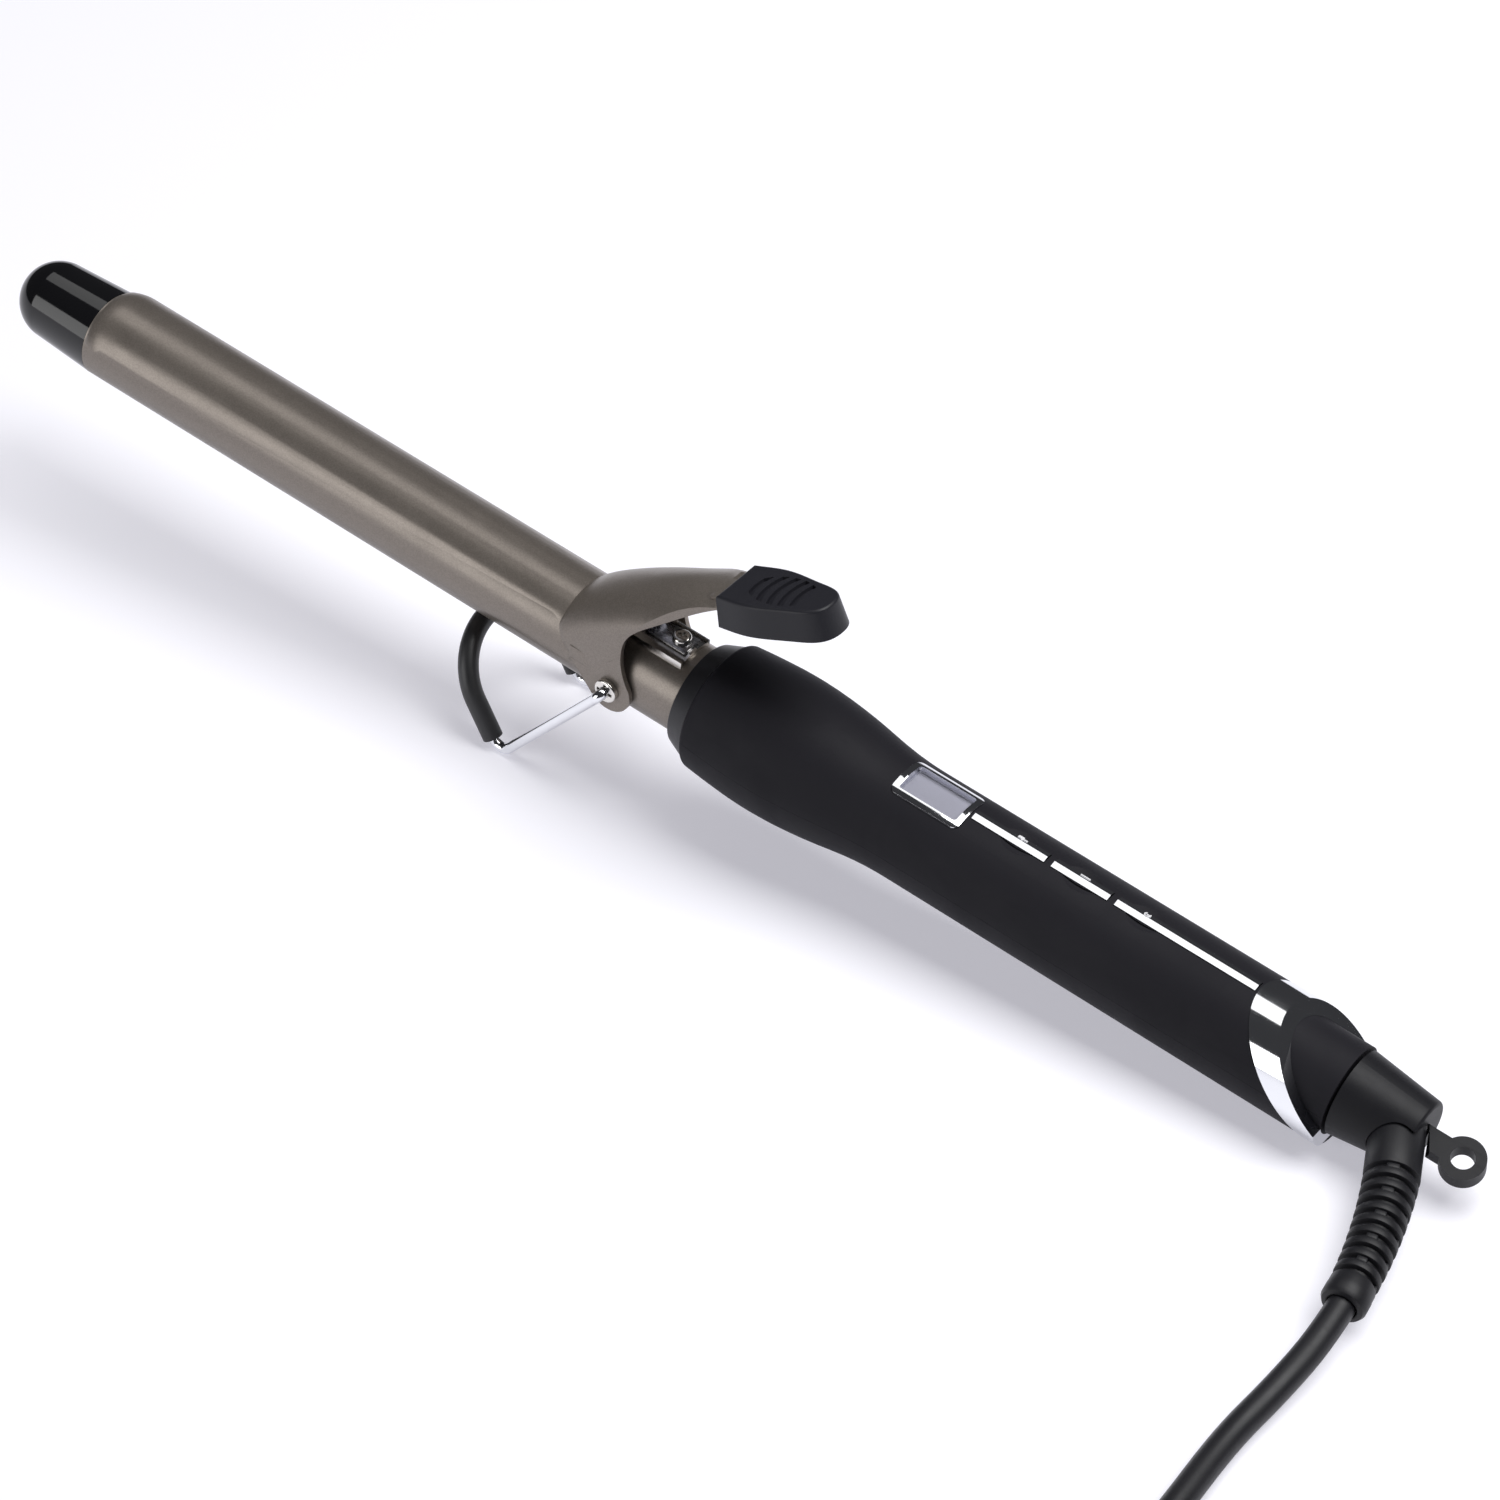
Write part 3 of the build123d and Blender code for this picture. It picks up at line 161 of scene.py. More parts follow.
def mouldedGrain():  # fine pebble of a moulded skin, and slow clouds in its tone
    group, enter, leave = newGroup(
        "mouldedGrain",
        [("Vector", "Vector"), ("Scale", "Float")],
        [("Fine", "Float"), ("Cloud", "Float")],
    )
    join = group.links.new
    fine = addNode(group, "TexNoise", (-500, 150), Detail=3.0, Roughness=0.6)
    cell = addNode(group, "TexVoronoi", (-500, -120))
    cloud = addNode(group, "TexNoise", (-500, -400), Scale=38.0, Detail=4.0, Roughness=0.55)
    blend = addNode(group, "Mix", (-200, 50))
    join(enter.outputs["Vector"], fine.inputs["Vector"])
    join(enter.outputs["Vector"], cell.inputs["Vector"])
    join(enter.outputs["Vector"], cloud.inputs["Vector"])
    join(enter.outputs["Scale"], fine.inputs["Scale"])
    join(enter.outputs["Scale"], cell.inputs["Scale"])
    blend.inputs["Factor"].default_value = 0.35
    join(fine.outputs["Fac"], blend.inputs["A"])
    join(cell.outputs["Distance"], blend.inputs["B"])
    join(blend.outputs["Result"], leave.inputs["Fine"])
    join(cloud.outputs["Fac"], leave.inputs["Cloud"])
    return group


def handledSmudge():  # faint wipe marks that change the gloss
    group, enter, leave = newGroup(
        "handledSmudge",
        [("Vector", "Vector"), ("Scale", "Float")],
        [("Smudge", "Float"), ("Scuff", "Float")],
    )
    join = group.links.new
    wide = addNode(group, "TexNoise", (-500, 150), Detail=5.0, Roughness=0.6, Distortion=0.8)
    steep = addNode(group, "MapRange", (-200, 150))
    steep.inputs["From Min"].default_value = 0.38
    steep.inputs["From Max"].default_value = 0.68
    turn = addNode(group, "Mapping", (-640, -200))
    turn.inputs["Rotation"].default_value = (0.0, lean, 0.35)
    turn.inputs["Scale"].default_value = (40.0, 900.0, 900.0)
    scuff = addNode(group, "TexNoise", (-450, -200), Scale=1.0, Detail=3.0)
    keen = addNode(group, "MapRange", (-200, -200))
    keen.inputs["From Min"].default_value = 0.6
    keen.inputs["From Max"].default_value = 0.72
    join(enter.outputs["Vector"], wide.inputs["Vector"])
    join(enter.outputs["Scale"], wide.inputs["Scale"])
    join(enter.outputs["Vector"], turn.inputs["Vector"])
    join(turn.outputs["Vector"], scuff.inputs["Vector"])
    join(wide.outputs["Fac"], steep.inputs["Value"])
    join(scuff.outputs["Fac"], keen.inputs["Value"])
    join(steep.outputs["Result"], leave.inputs["Smudge"])
    join(keen.outputs["Result"], leave.inputs["Scuff"])
    return group


def paintFlake():  # metal flakes in a stoved paint
    group, enter, leave = newGroup(
        "paintFlake",
        [("Vector", "Vector"), ("Scale", "Float")],
        [("Flake", "Float"), ("Peel", "Float")],
    )
    join = group.links.new
    cell = addNode(group, "TexVoronoi", (-500, 120))
    grey = group.nodes.new("ShaderNodeSeparateColor")
    grey.location = (-250, 120)
    peel = addNode(group, "TexNoise", (-500, -200), Scale=420.0, Detail=2.0, Roughness=0.4)
    join(enter.outputs["Vector"], cell.inputs["Vector"])
    join(enter.outputs["Scale"], cell.inputs["Scale"])
    join(enter.outputs["Vector"], peel.inputs["Vector"])
    join(cell.outputs["Color"], grey.inputs["Color"])
    join(grey.outputs["Red"], leave.inputs["Flake"])
    join(peel.outputs["Fac"], leave.inputs["Peel"])
    return group


grainGroup = mouldedGrain()
smudgeGroup = handledSmudge()
flakeGroup = paintFlake()


def placeGroup(tree, group, where, scale, vector):
    node = tree.nodes.new("ShaderNodeGroup")
    node.node_tree = group
    node.location = where
    node.inputs["Scale"].default_value = scale
    tree.links.new(vector, node.inputs["Vector"])
    return node


def makeFinish(name, look):
    finish = bpy.data.materials.new(name)
    finish.use_nodes = True
    tree = finish.node_tree
    join = tree.links.new
    shader = tree.nodes["Principled BSDF"]
    shader.inputs["Metallic"].default_value = look.get("metallic", 0.0)
    shader.inputs["Coat Weight"].default_value = look.get("coat", 0.0)
    shader.inputs["Coat Roughness"].default_value = look.get("coatRough", 0.05)
    shader.inputs["Specular IOR Level"].default_value = look.get("specular", 0.5)
    place = tree.nodes.new("ShaderNodeTexCoord")
    place.location = (-1200, 0)
    spot = place.outputs["Object"]
    if look.get("flake"):
        grain = placeGroup(tree, flakeGroup, (-950, 200), look["scale"], spot)
        tone, bumps = grain.outputs["Flake"], grain.outputs["Peel"]
    else:
        grain = placeGroup(tree, grainGroup, (-950, 200), look["scale"], spot)
        tone, bumps = grain.outputs["Cloud"], grain.outputs["Fine"]
    smudge = placeGroup(tree, smudgeGroup, (-950, -150), look.get("smudge", 60.0), spot)
    colour = tree.nodes.new("ShaderNodeMix")
    colour.data_type = "RGBA"
    colour.location = (-600, 200)
    colour.inputs["A"].default_value = (*look["dark"], 1)
    colour.inputs["B"].default_value = (*look["light"], 1)
    join(tone, colour.inputs["Factor"])
    join(colour.outputs["Result"], shader.inputs["Base Color"])
    gloss = addNode(tree, "MapRange", (-600, -100))
    gloss.inputs["To Min"].default_value = look["rough"][0]
    gloss.inputs["To Max"].default_value = look["rough"][1]
    join(smudge.outputs["Smudge"], gloss.inputs["Value"])
    scuffed = tree.nodes.new("ShaderNodeMath")
    scuffed.operation = "MULTIPLY_ADD"
    scuffed.location = (-350, -100)
    scuffed.inputs[1].default_value = look.get("scuff", 0.05)
    join(smudge.outputs["Scuff"], scuffed.inputs[0])
    join(gloss.outputs["Result"], scuffed.inputs[2])
    join(scuffed.outputs["Value"], shader.inputs["Roughness"])
    raised = addNode(tree, "Bump", (-350, -350), Strength=look.get("relief", 0.3))
    raised.inputs["Distance"].default_value = look.get("depth", 0.00005)
    join(bumps, raised.inputs["Height"])
    join(raised.outputs["Normal"], shader.inputs["Normal"])
    return finish


finishes = {
    "barrelCoat": {"dark": (0.200, 0.174, 0.152), "light": (0.245, 0.216, 0.190), "metallic": 0.6, "flake": True,
                   "scale": 4200.0, "rough": (0.30, 0.37), "scuff": 0.02, "relief": 0.10, "depth": 0.00008},
    "tipGloss": {"dark": (0.004, 0.004, 0.005), "light": (0.007, 0.007, 0.008), "scale": 1500.0, "rough": (0.05, 0.10),
                 "scuff": 0.02, "relief": 0.03},
    "softTouch": {"dark": (0.0125, 0.012, 0.0155), "light": (0.0165, 0.016, 0.020), "scale": 3200.0,
                  "rough": (0.56, 0.66), "relief": 0.30, "specular": 0.12},
    "satinCollar": {"dark": (0.013, 0.013, 0.016), "light": (0.019, 0.019, 0.022), "scale": 2600.0,
                    "rough": (0.36, 0.44), "relief": 0.20, "specular": 0.35},
    "restSatin": {"dark": (0.012, 0.012, 0.016), "light": (0.018, 0.018, 0.023), "scale": 2600.0,
                  "rough": (0.38, 0.46), "relief": 0.22, "specular": 0.28},
    "brightChrome": {"dark": (0.74, 0.75, 0.78), "light": (0.86, 0.87, 0.89), "metallic": 1.0, "scale": 900.0,
                     "rough": (0.05, 0.11), "scuff": 0.04, "relief": 0.02},
    "brightNickel": {"dark": (0.62, 0.60, 0.57), "light": (0.78, 0.76, 0.72), "metallic": 1.0, "scale": 1400.0,
                     "rough": (0.14, 0.24), "scuff": 0.08, "relief": 0.05},
    "springSteel": {"dark": (0.34, 0.34, 0.36), "light": (0.50, 0.50, 0.52), "metallic": 1.0, "scale": 1800.0,
                    "rough": (0.24, 0.36), "scuff": 0.10, "relief": 0.06},
    "sleeveRubber": {"dark": (0.012, 0.012, 0.013), "light": (0.020, 0.020, 0.022), "scale": 2200.0,
                     "rough": (0.40, 0.55), "relief": 0.25},
    "swivelSatin": {"dark": (0.009, 0.009, 0.011), "light": (0.013, 0.013, 0.016), "scale": 2400.0,
                    "rough": (0.42, 0.50), "relief": 0.20, "specular": 0.2},
    "reliefRubber": {"dark": (0.009, 0.009, 0.011), "light": (0.013, 0.013, 0.016), "scale": 2000.0,
                     "rough": (0.44, 0.54), "relief": 0.25, "specular": 0.3},
    "cordSheath": {"dark": (0.009, 0.009, 0.011), "light": (0.014, 0.014, 0.017), "scale": 1600.0,
                   "rough": (0.40, 0.50), "relief": 0.22, "specular": 0.35},
    "heatAluminium": {"dark": (0.55, 0.55, 0.56), "light": (0.70, 0.70, 0.71), "metallic": 1.0, "scale": 900.0,
                      "rough": (0.35, 0.48), "relief": 0.15},
    "whiteCeramic": {"dark": (0.62, 0.60, 0.56), "light": (0.74, 0.72, 0.68), "scale": 1200.0,
                     "rough": (0.5, 0.65), "relief": 0.2},
    "boardGreen": {"dark": (0.012, 0.070, 0.030), "light": (0.020, 0.105, 0.045), "scale": 900.0,
                   "rough": (0.30, 0.42), "relief": 0.15},
    "darkPlastic": {"dark": (0.014, 0.014, 0.015), "light": (0.024, 0.024, 0.026), "scale": 1800.0,
                    "rough": (0.42, 0.56), "relief": 0.25},
    "leadSheath": {"dark": (0.50, 0.48, 0.42), "light": (0.62, 0.60, 0.54), "scale": 1500.0,
                   "rough": (0.40, 0.55), "relief": 0.2},
    "ringBrass": {"dark": (0.55, 0.38, 0.14), "light": (0.70, 0.50, 0.22), "metallic": 1.0, "scale": 1400.0,
                  "rough": (0.22, 0.34), "relief": 0.08},
    # pale white for the key signs: a painted highlight in place of the light that their raised chrome catches
    "signPaintedHighlight": {"dark": (0.80, 0.80, 0.82), "light": (0.88, 0.88, 0.90), "scale": 1200.0, "rough": (0.25, 0.35),
                   "relief": 0.03},
    "lcdGrey": {"dark": (0.43, 0.43, 0.47), "light": (0.51, 0.51, 0.55), "scale": 1200.0, "rough": (0.28, 0.34),
                "relief": 0.03},
}
made = {name: makeFinish(name, look) for name, look in finishes.items()}


lensLook = {"tint": (0.93, 0.93, 0.95), "bends": 1.46, "smudge": 90.0, "rough": (0.02, 0.07)}


def makeLens(look):  # clear window: what lies under it shows, with a gloss on its outer side
    finish = bpy.data.materials.new("clearLens")
    finish.use_nodes = True
    tree = finish.node_tree
    join = tree.links.new
    tree.nodes.remove(tree.nodes["Principled BSDF"])
    leave = tree.nodes["Material Output"]
    clear = addNode(tree, "BsdfTransparent", (-300, 100), Color=(*look["tint"], 1))
    shine = addNode(tree, "BsdfGlossy", (-300, -100), Color=(1, 1, 1, 1))
    edge = addNode(tree, "Fresnel", (-300, 300), IOR=look["bends"])
    side = addNode(tree, "NewGeometry", (-900, 400))
    front = addNode(tree, "Math", (-700, 400))
    front.operation = "SUBTRACT"
    front.inputs[0].default_value = 1.0
    outer = addNode(tree, "Math", (-100, 300))
    outer.operation = "MULTIPLY"
    both = tree.nodes.new("ShaderNodeMixShader")
    place = tree.nodes.new("ShaderNodeTexCoord")
    smudge = placeGroup(tree, smudgeGroup, (-800, -100), look["smudge"], place.outputs["Object"])
    gloss = addNode(tree, "MapRange", (-550, -100))
    gloss.inputs["To Min"].default_value = look["rough"][0]
    gloss.inputs["To Max"].default_value = look["rough"][1]
    join(smudge.outputs["Smudge"], gloss.inputs["Value"])
    join(gloss.outputs["Result"], shine.inputs["Roughness"])
    join(edge.outputs["Fac"], outer.inputs[0])
    join(side.outputs["Backfacing"], front.inputs[1])
    join(front.outputs["Value"], outer.inputs[1])
    join(outer.outputs["Value"], both.inputs[0])
    join(clear.outputs["BSDF"], both.inputs[1])
    join(shine.outputs["BSDF"], both.inputs[2])
    join(both.outputs["Shader"], leave.inputs["Surface"])
    return finish


made["clearLens"] = makeLens(lensLook)


def dress(finish, *names):
    for name in names:
        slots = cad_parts[name].data.materials
        slots.clear()
        slots.append(made[finish])


dress("barrelCoat", "barrel", "clamp")
dress("tipGloss", "tip_cap")
dress("softTouch", "upper_shell", "lower_shell")
dress("satinCollar", "front_collar")
dress("restSatin", "thumb_rest")
dress("brightChrome", "display_bezel", "end_ring", "plus_key", "minus_key", "power_key", "stand_wire")
dress("brightNickel", "hinge_screws", "saddle_screw", "spring_saddle", "shell_screw", "plug_pins", "hinge_bar")
dress("springSteel", "clamp_spring", "brush_contacts")
dress("sleeveRubber", "stand_sleeve", "cord_tie")
dress("swivelSatin", "swivel_housing")
dress("reliefRubber", "strain_relief", "plug_body")
dress("cordSheath", "power_cord", "cord_coil", "plug_lead")
dress("heatAluminium", "upper_heat_spreader", "lower_heat_spreader")
dress("whiteCeramic", "ptc_heater", "thermal_fuse", "temperature_sensor")
dress("boardGreen", "control_board")
dress("darkPlastic", "barrel_holder", "tact_switches", "microcontroller", "triac", "capacitor", "brush_holder")
dress("leadSheath", "heater_leads", "mains_leads")
dress("ringBrass", "slip_rings")
dress("lcdGrey", "lcd_panel")
dress("clearLens", "display_lens")
print("finishes made,", len(made))


# small rounds on the pressed edges of the clamp and the moulded ones of the display's frame
edgeLook = {
    "clamp": {"merge": 0.00016, "width": 0.0004},
    "display_bezel": {"merge": 0.00001, "width": 0.0003},
}
for nodeName, edge in edgeLook.items():
    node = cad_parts[nodeName]
    joined = node.modifiers.new("weld", "WELD")
    joined.merge_threshold = edge["merge"]
    rounded = node.modifiers.new("bevel", "BEVEL")
    rounded.width = edge["width"]
    rounded.segments = 3
    rounded.limit_method = "ANGLE"
    rounded.angle_limit = radians(38)
    rounded.harden_normals = True
print("edges rounded on", len(edgeLook), "nodes")


# hand tools for the modelled pieces
def newPiece(name):  # the primitive just added, in edit mode with nothing selected
    piece = bpy.context.object
    piece.name = name
    piece.data.name = name
    bpy.ops.object.mode_set(mode="EDIT")
    bpy.ops.mesh.select_mode(type="VERT")
    bpy.ops.mesh.select_all(action="DESELECT")
    return piece


def pick(piece, kind, test):  # selects the vertices, edges or faces that pass the test
    bpy.ops.mesh.select_all(action="DESELECT")
    bpy.ops.mesh.select_mode(type={"vertices": "VERT", "edges": "EDGE", "polygons": "FACE"}[kind])
    bpy.ops.object.mode_set(mode="OBJECT")
    corners = piece.data.vertices
    for part in getattr(piece.data, kind):
        if kind == "edges":
            part.select = test((corners[part.vertices[0]].co + corners[part.vertices[1]].co) / 2)
        elif kind == "vertices":
            part.select = test(part.co)
        else:
            part.select = test(part.center)
    bpy.ops.object.mode_set(mode="EDIT")


def drawOut(x, y, z):
    bpy.ops.mesh.extrude_region_move(TRANSFORM_OT_translate={"value": (x, y, z)})


def tidyMesh(merge=0.000002):
    bpy.ops.mesh.select_all(action="SELECT")
    bpy.ops.mesh.remove_doubles(threshold=merge)
    bpy.ops.mesh.normals_make_consistent(inside=False)
    bpy.ops.object.mode_set(mode="OBJECT")


def applyModifier(piece, kind, **settings):
    bpy.context.view_layer.objects.active = piece
    added = piece.modifiers.new(kind.lower(), kind)
    for key, value in settings.items():
        setattr(added, key, value)
    bpy.ops.object.modifier_apply(modifier=added.name)


def roundEdges(piece, width, angle):
    applyModifier(piece, "BEVEL", width=width, segments=2, limit_method="ANGLE", angle_limit=radians(angle))


def settle(piece, place, finish, body):  # place goes into the mesh, then the piece rides
    bpy.ops.object.select_all(action="DESELECT")
    piece.select_set(True)
    bpy.context.view_layer.objects.active = piece
    piece.matrix_world = place
    bpy.ops.object.transform_apply(location=True, rotation=True, scale=True)
    bpy.ops.object.shade_smooth_by_angle(angle=radians(35))
    piece.data.materials.clear()
    piece.data.materials.append(made[finish])
    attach(piece, body)
    piece.select_set(False)


# strain relief: plain root, slotted ribs and a rounded end, bent along its line
reliefLook = {
    "line": [(0.188879, 0.0, 0.012198), (0.4914, -0.8644, -0.1062), (0.205414, -0.04915, 0.007391),
             (0.1319, -0.9884, -0.0750)],
    "handle": 0.01752,
    "length": 0.0524,
    "root": 0.0159,
    "rootRadius": 0.0062,
    "ribbed": 0.032,
    "ribs": 10,
    "endRadius": 0.0051,
    "groove": 0.0012,
    "slot": 0.42,
    "collar": 0.0045,
    "collarRadius": 0.0052,
    "bore": 0.0034,
    "boreDepth": 0.0055,
    "webHalf": radians(17),
    "webRise": 0.75,
    "wall": 0.0001,
    "collarLead": 0.0006,
    "collarEnd": [(0.0012, 0.0), (0.0003, 0.0005), (0.0, 0.0014)],  # back from the end, in from the radius
    "edge": 0.00022,
    "sides": 48,
}


def makeStrainRelief(look):
    pitch = look["ribbed"] / look["ribs"]
    webHeight = look["groove"] * look["webRise"]
    rings = [(look["root"], look["rootRadius"])]
    floors = []
    for i in range(look["ribs"]):
        high = look["rootRadius"] + (look["endRadius"] - look["rootRadius"]) * (i + 1) / look["ribs"]
        low = high - look["groove"]
        at = look["root"] + i * pitch
        floors.append((at + pitch * look["slot"] / 2, low))
        rings += [(at + look["wall"], low), (at + pitch * look["slot"], low)]
        rings += [(at + pitch * look["slot"] + look["wall"], high), (at + pitch, high)]
    rings.append((look["length"] - look["collar"] + look["collarLead"], look["collarRadius"]))
    rings += [(look["length"] - back, look["collarRadius"] - inward) for back, inward in look["collarEnd"]]
    rings += [(look["length"], look["bore"]), (look["length"] - look["boreDepth"], look["bore"])]
    bpy.ops.mesh.primitive_circle_add(
        vertices=look["sides"], radius=look["rootRadius"], fill_type="NGON", location=(0, 0, 0),
        rotation=(0, pi / 2, 0),
    )
    bpy.ops.object.transform_apply(location=True, rotation=True, scale=True)
    piece = newPiece("cordRelief")
    bpy.ops.mesh.select_all(action="SELECT")
    bpy.ops.mesh.select_mode(type="FACE")
    x, radius = 0.0, look["rootRadius"]
    for nextX, nextRadius in rings:
        drawOut(nextX - x, 0, 0)
        k = nextRadius / radius
        bpy.ops.transform.resize(value=(1, k, k), center_override=(nextX, 0, 0))
        x, radius = nextX, nextRadius
    for i, (at, low) in enumerate(floors):  # webs bridge each slot, by turns at the top and at the sides
        def onWeb(c):
            angle = abs(atan2(c.y, c.z))
            angle = min(angle, pi - angle)
            off = angle if i % 2 == 0 else pi / 2 - angle
            return abs(c.x - at) < pitch * 0.1 and off < look["webHalf"] and c.yz.length < low + 0.0002
        pick(piece, "polygons", onWeb)
        bpy.ops.mesh.extrude_region_shrink_fatten(TRANSFORM_OT_shrink_fatten={"value": webHeight})
    tidyMesh()
    roundEdges(piece, look["edge"], 50)
    bend = bpy.data.curves.new("reliefLine", "CURVE")
    bend.dimensions = "3D"
    bend.resolution_u = 64
    line = bend.splines.new("BEZIER")
    line.bezier_points.add(1)
    start, way, end, last = [Vector(p) for p in look["line"]]
    for point, at, heading in ((line.bezier_points[0], start, way), (line.bezier_points[1], end, last)):
        point.co = at
        point.handle_left = at - heading * look["handle"]
        point.handle_right = at + heading * look["handle"]
    bendObject = bpy.data.objects.new("reliefLine", bend)
    scene.collection.objects.link(bendObject)
    applyModifier(piece, "CURVE", object=bendObject, deform_axis="POS_X")
    bpy.data.objects.remove(bendObject)
    settle(piece, Matrix.Identity(4), "reliefRubber", "swivel")
    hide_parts("strain_relief")
    return piece


cordRelief = makeStrainRelief(reliefLook)
print("strain relief modelled,", len(cordRelief.data.polygons), "faces")

# clamp spring: a strip that lies under its screw, turns up and presses on the lever
springLook = {
    "width": 0.006,
    "sheet": 0.0006,
    "start": (0.1795, 0.0124),
    "bend": (0.1667, 0.0156),
    "bendRadius": 0.0032,
    "turn": radians(130),
    "arm": 0.0118,
    "tipRadius": 0.0022,
    "tipTurn": radians(38),
    "keep": 0.5,
    "edge": 0.0001,
}


def makeClampSpring(look):
    x, z = look["start"]
    bpy.ops.mesh.primitive_plane_add(size=look["width"], location=(x, 0, z))
    piece = newPiece("leafSpring")
    bpy.ops.object.mode_set(mode="OBJECT")
    bpy.ops.object.transform_apply(location=True, rotation=True, scale=True)
    bpy.ops.object.mode_set(mode="EDIT")
    pick(piece, "vertices", lambda c: c.x > x)
    bpy.ops.transform.translate(value=(-look["width"] / 2, 0, 0))
    pick(piece, "vertices", lambda c: c.x < x - look["width"] * 0.4)
    bpy.ops.transform.translate(value=(-look["width"] / 4, 0, 0))
    pick(piece, "edges", lambda c: c.x < x - look["width"] * 0.7)
    drawOut(look["bend"][0] - (x - look["width"] * 0.75), 0, 0)
    bend = Vector((look["bend"][0], 0, look["bend"][1]))
    bpy.ops.mesh.spin(steps=14, angle=look["turn"], center=bend, axis=(0, 1, 0))
    rise = Vector((-cos(look["turn"]), 0, sin(look["turn"])))
    for step in range(4):
        drawOut(rise.x * look["arm"] / 4, 0, rise.z * look["arm"] / 4)
    top = bend + Vector((-rise.z, 0, rise.x)) * look["bendRadius"] + rise * look["arm"]
    curl = top + Vector((rise.z, 0, -rise.x)) * look["tipRadius"]
    bpy.ops.mesh.spin(steps=6, angle=look["tipTurn"], center=curl, axis=(0, 1, 0))
    tidyMesh()
    applyModifier(piece, "SOLIDIFY", thickness=look["sheet"], offset=0.0)
    roundEdges(piece, look["edge"], 50)
    settle(piece, ironPlace, "springSteel", "iron")
    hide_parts("clamp_spring")
    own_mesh(piece)
    return piece


leafSpring = makeClampSpring(springLook)
print("clamp spring modelled,", len(leafSpring.data.polygons), "faces")

# not on the product: plates over a slit that the CAD clamp has between each ear and the hood
coverLook = {
    "middle": (0.1575, 0.01195, 0.0027),
    "size": (0.0070, 0.00106, 0.0046),
    "edge": 0.0001,
}


def makeEarCovers(look):
    halves = []
    for side in (1, -1):
        x, y, z = look["middle"]
        bpy.ops.mesh.primitive_cube_add(size=1, location=(x, side * y, z))
        bpy.context.object.dimensions = look["size"]
        bpy.ops.object.transform_apply(location=True, rotation=True, scale=True)
        half = newPiece("earCover")
        bpy.ops.mesh.select_mode(type="EDGE")
        bpy.ops.mesh.select_all(action="SELECT")
        bpy.ops.mesh.bevel(offset=look["edge"], segments=2)
        tidyMesh()
        halves.append(half)
    bpy.ops.object.select_all(action="DESELECT")
    for half in halves:
        half.select_set(True)
    bpy.context.view_layer.objects.active = halves[0]
    bpy.ops.object.join()
    settle(halves[0], ironPlace, "barrelCoat", "clamp")
    return halves[0]


earCover = makeEarCovers(coverLook)
print("ear covers modelled,", len(earCover.data.polygons), "faces")

# strap round the coil
tieLook = {
    "middle": (0.29155, -0.154, 0.0082),
    "across": (1, 0, 0),
    "along": (0, 1, 0),
    "span": 0.031,
    "height": 0.0164,
    "width": 0.009,
    "sheet": 0.001,
    "corner": 0.0029,
    "endInset": 0.0016,
    "endRise": 0.0006,
    "edge": 0.0002,
}


def makeCordTie(look):
    bpy.ops.mesh.primitive_cube_add(size=1, location=(0, 0, 0))
    bpy.context.object.dimensions = (look["span"], look["width"], look["height"])
    bpy.ops.object.transform_apply(location=True, rotation=True, scale=True)
    piece = newPiece("coilStrap")
    pick(piece, "polygons", lambda c: abs(c.y) > look["width"] * 0.4)
    bpy.ops.mesh.delete(type="ONLY_FACE")
    far = (look["span"] * 0.4, look["height"] * 0.4)
    pick(piece, "edges", lambda c: abs(c.x) > far[0] and abs(c.z) > far[1] and abs(c.y) < 0.001)
    bpy.ops.mesh.bevel(offset=look["corner"], segments=6)
    pick(piece, "polygons", lambda c: c.z > look["height"] * 0.49)
    bpy.ops.mesh.inset(thickness=look["endInset"])  # doubled end of the strap
    drawOut(0, 0, look["endRise"])
    tidyMesh()
    applyModifier(piece, "SOLIDIFY", thickness=look["sheet"], offset=-1.0)
    roundEdges(piece, look["edge"], 40)
    turned = Matrix((look["across"], look["along"], (0, 0, 1))).transposed().to_4x4()
    settle(piece, Matrix.Translation(look["middle"]) @ turned, "sleeveRubber", "swivel")
    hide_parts("cord_tie")
    return piece


coilStrap = makeCordTie(tieLook)
print("strap modelled,", len(coilStrap.data.polygons), "faces")

# raised signs on the far slope of the key strips, in a flat pale white that is a painted highlight: it stands in for
# the light their raised chrome catches
signLook = {
    "across": 0.00075,
    "height": 0.013965,
    "slope": radians(-16.7),
    "thick": 0.00022,
    "line": 0.00036,
    "long": 0.0026,
    "wide": 0.0014,
    "plusAt": 0.2718,
    "minusAt": 0.2888,
    "powerAt": 0.3054,
    "edge": 0.00006,
    "ringReach": 0.52,
    "ringLine": 0.8,
    "ringStart": radians(40),
    "ringTurn": radians(280),
}


def settleSign(piece, x, body):
    roundEdges(piece, signLook["edge"], 40)
    spot = Matrix.Translation((x, signLook["across"], signLook["height"]))
    # the signs get the flat pale white of the painted highlight, not chrome
    settle(piece, ironPlace @ spot @ Matrix.Rotation(signLook["slope"], 4, "X"), "signPaintedHighlight", body)


def startSign(name, x, y):  # a small block, x by y, to draw arms from
    bpy.ops.mesh.primitive_cube_add(size=1, location=(0, 0, signLook["thick"] / 2))
    bpy.context.object.dimensions = (x, y, signLook["thick"])
    bpy.ops.object.transform_apply(location=True, rotation=True, scale=True)
    return newPiece(name)


def makePlusSign(look):
    half = look["line"] / 2
    piece = startSign("plusSign", look["line"], look["line"])
    for side in (1, -1):
        pick(piece, "polygons", lambda c: c.x * side > half * 0.9)
        drawOut(side * (look["long"] / 2 - half), 0, 0)
        pick(piece, "polygons", lambda c: c.y * side > half * 0.9 and abs(c.x) < half)
        drawOut(0, side * (look["wide"] / 2 - half), 0)
    tidyMesh()
    settleSign(piece, look["plusAt"], "plus_key")
    return piece


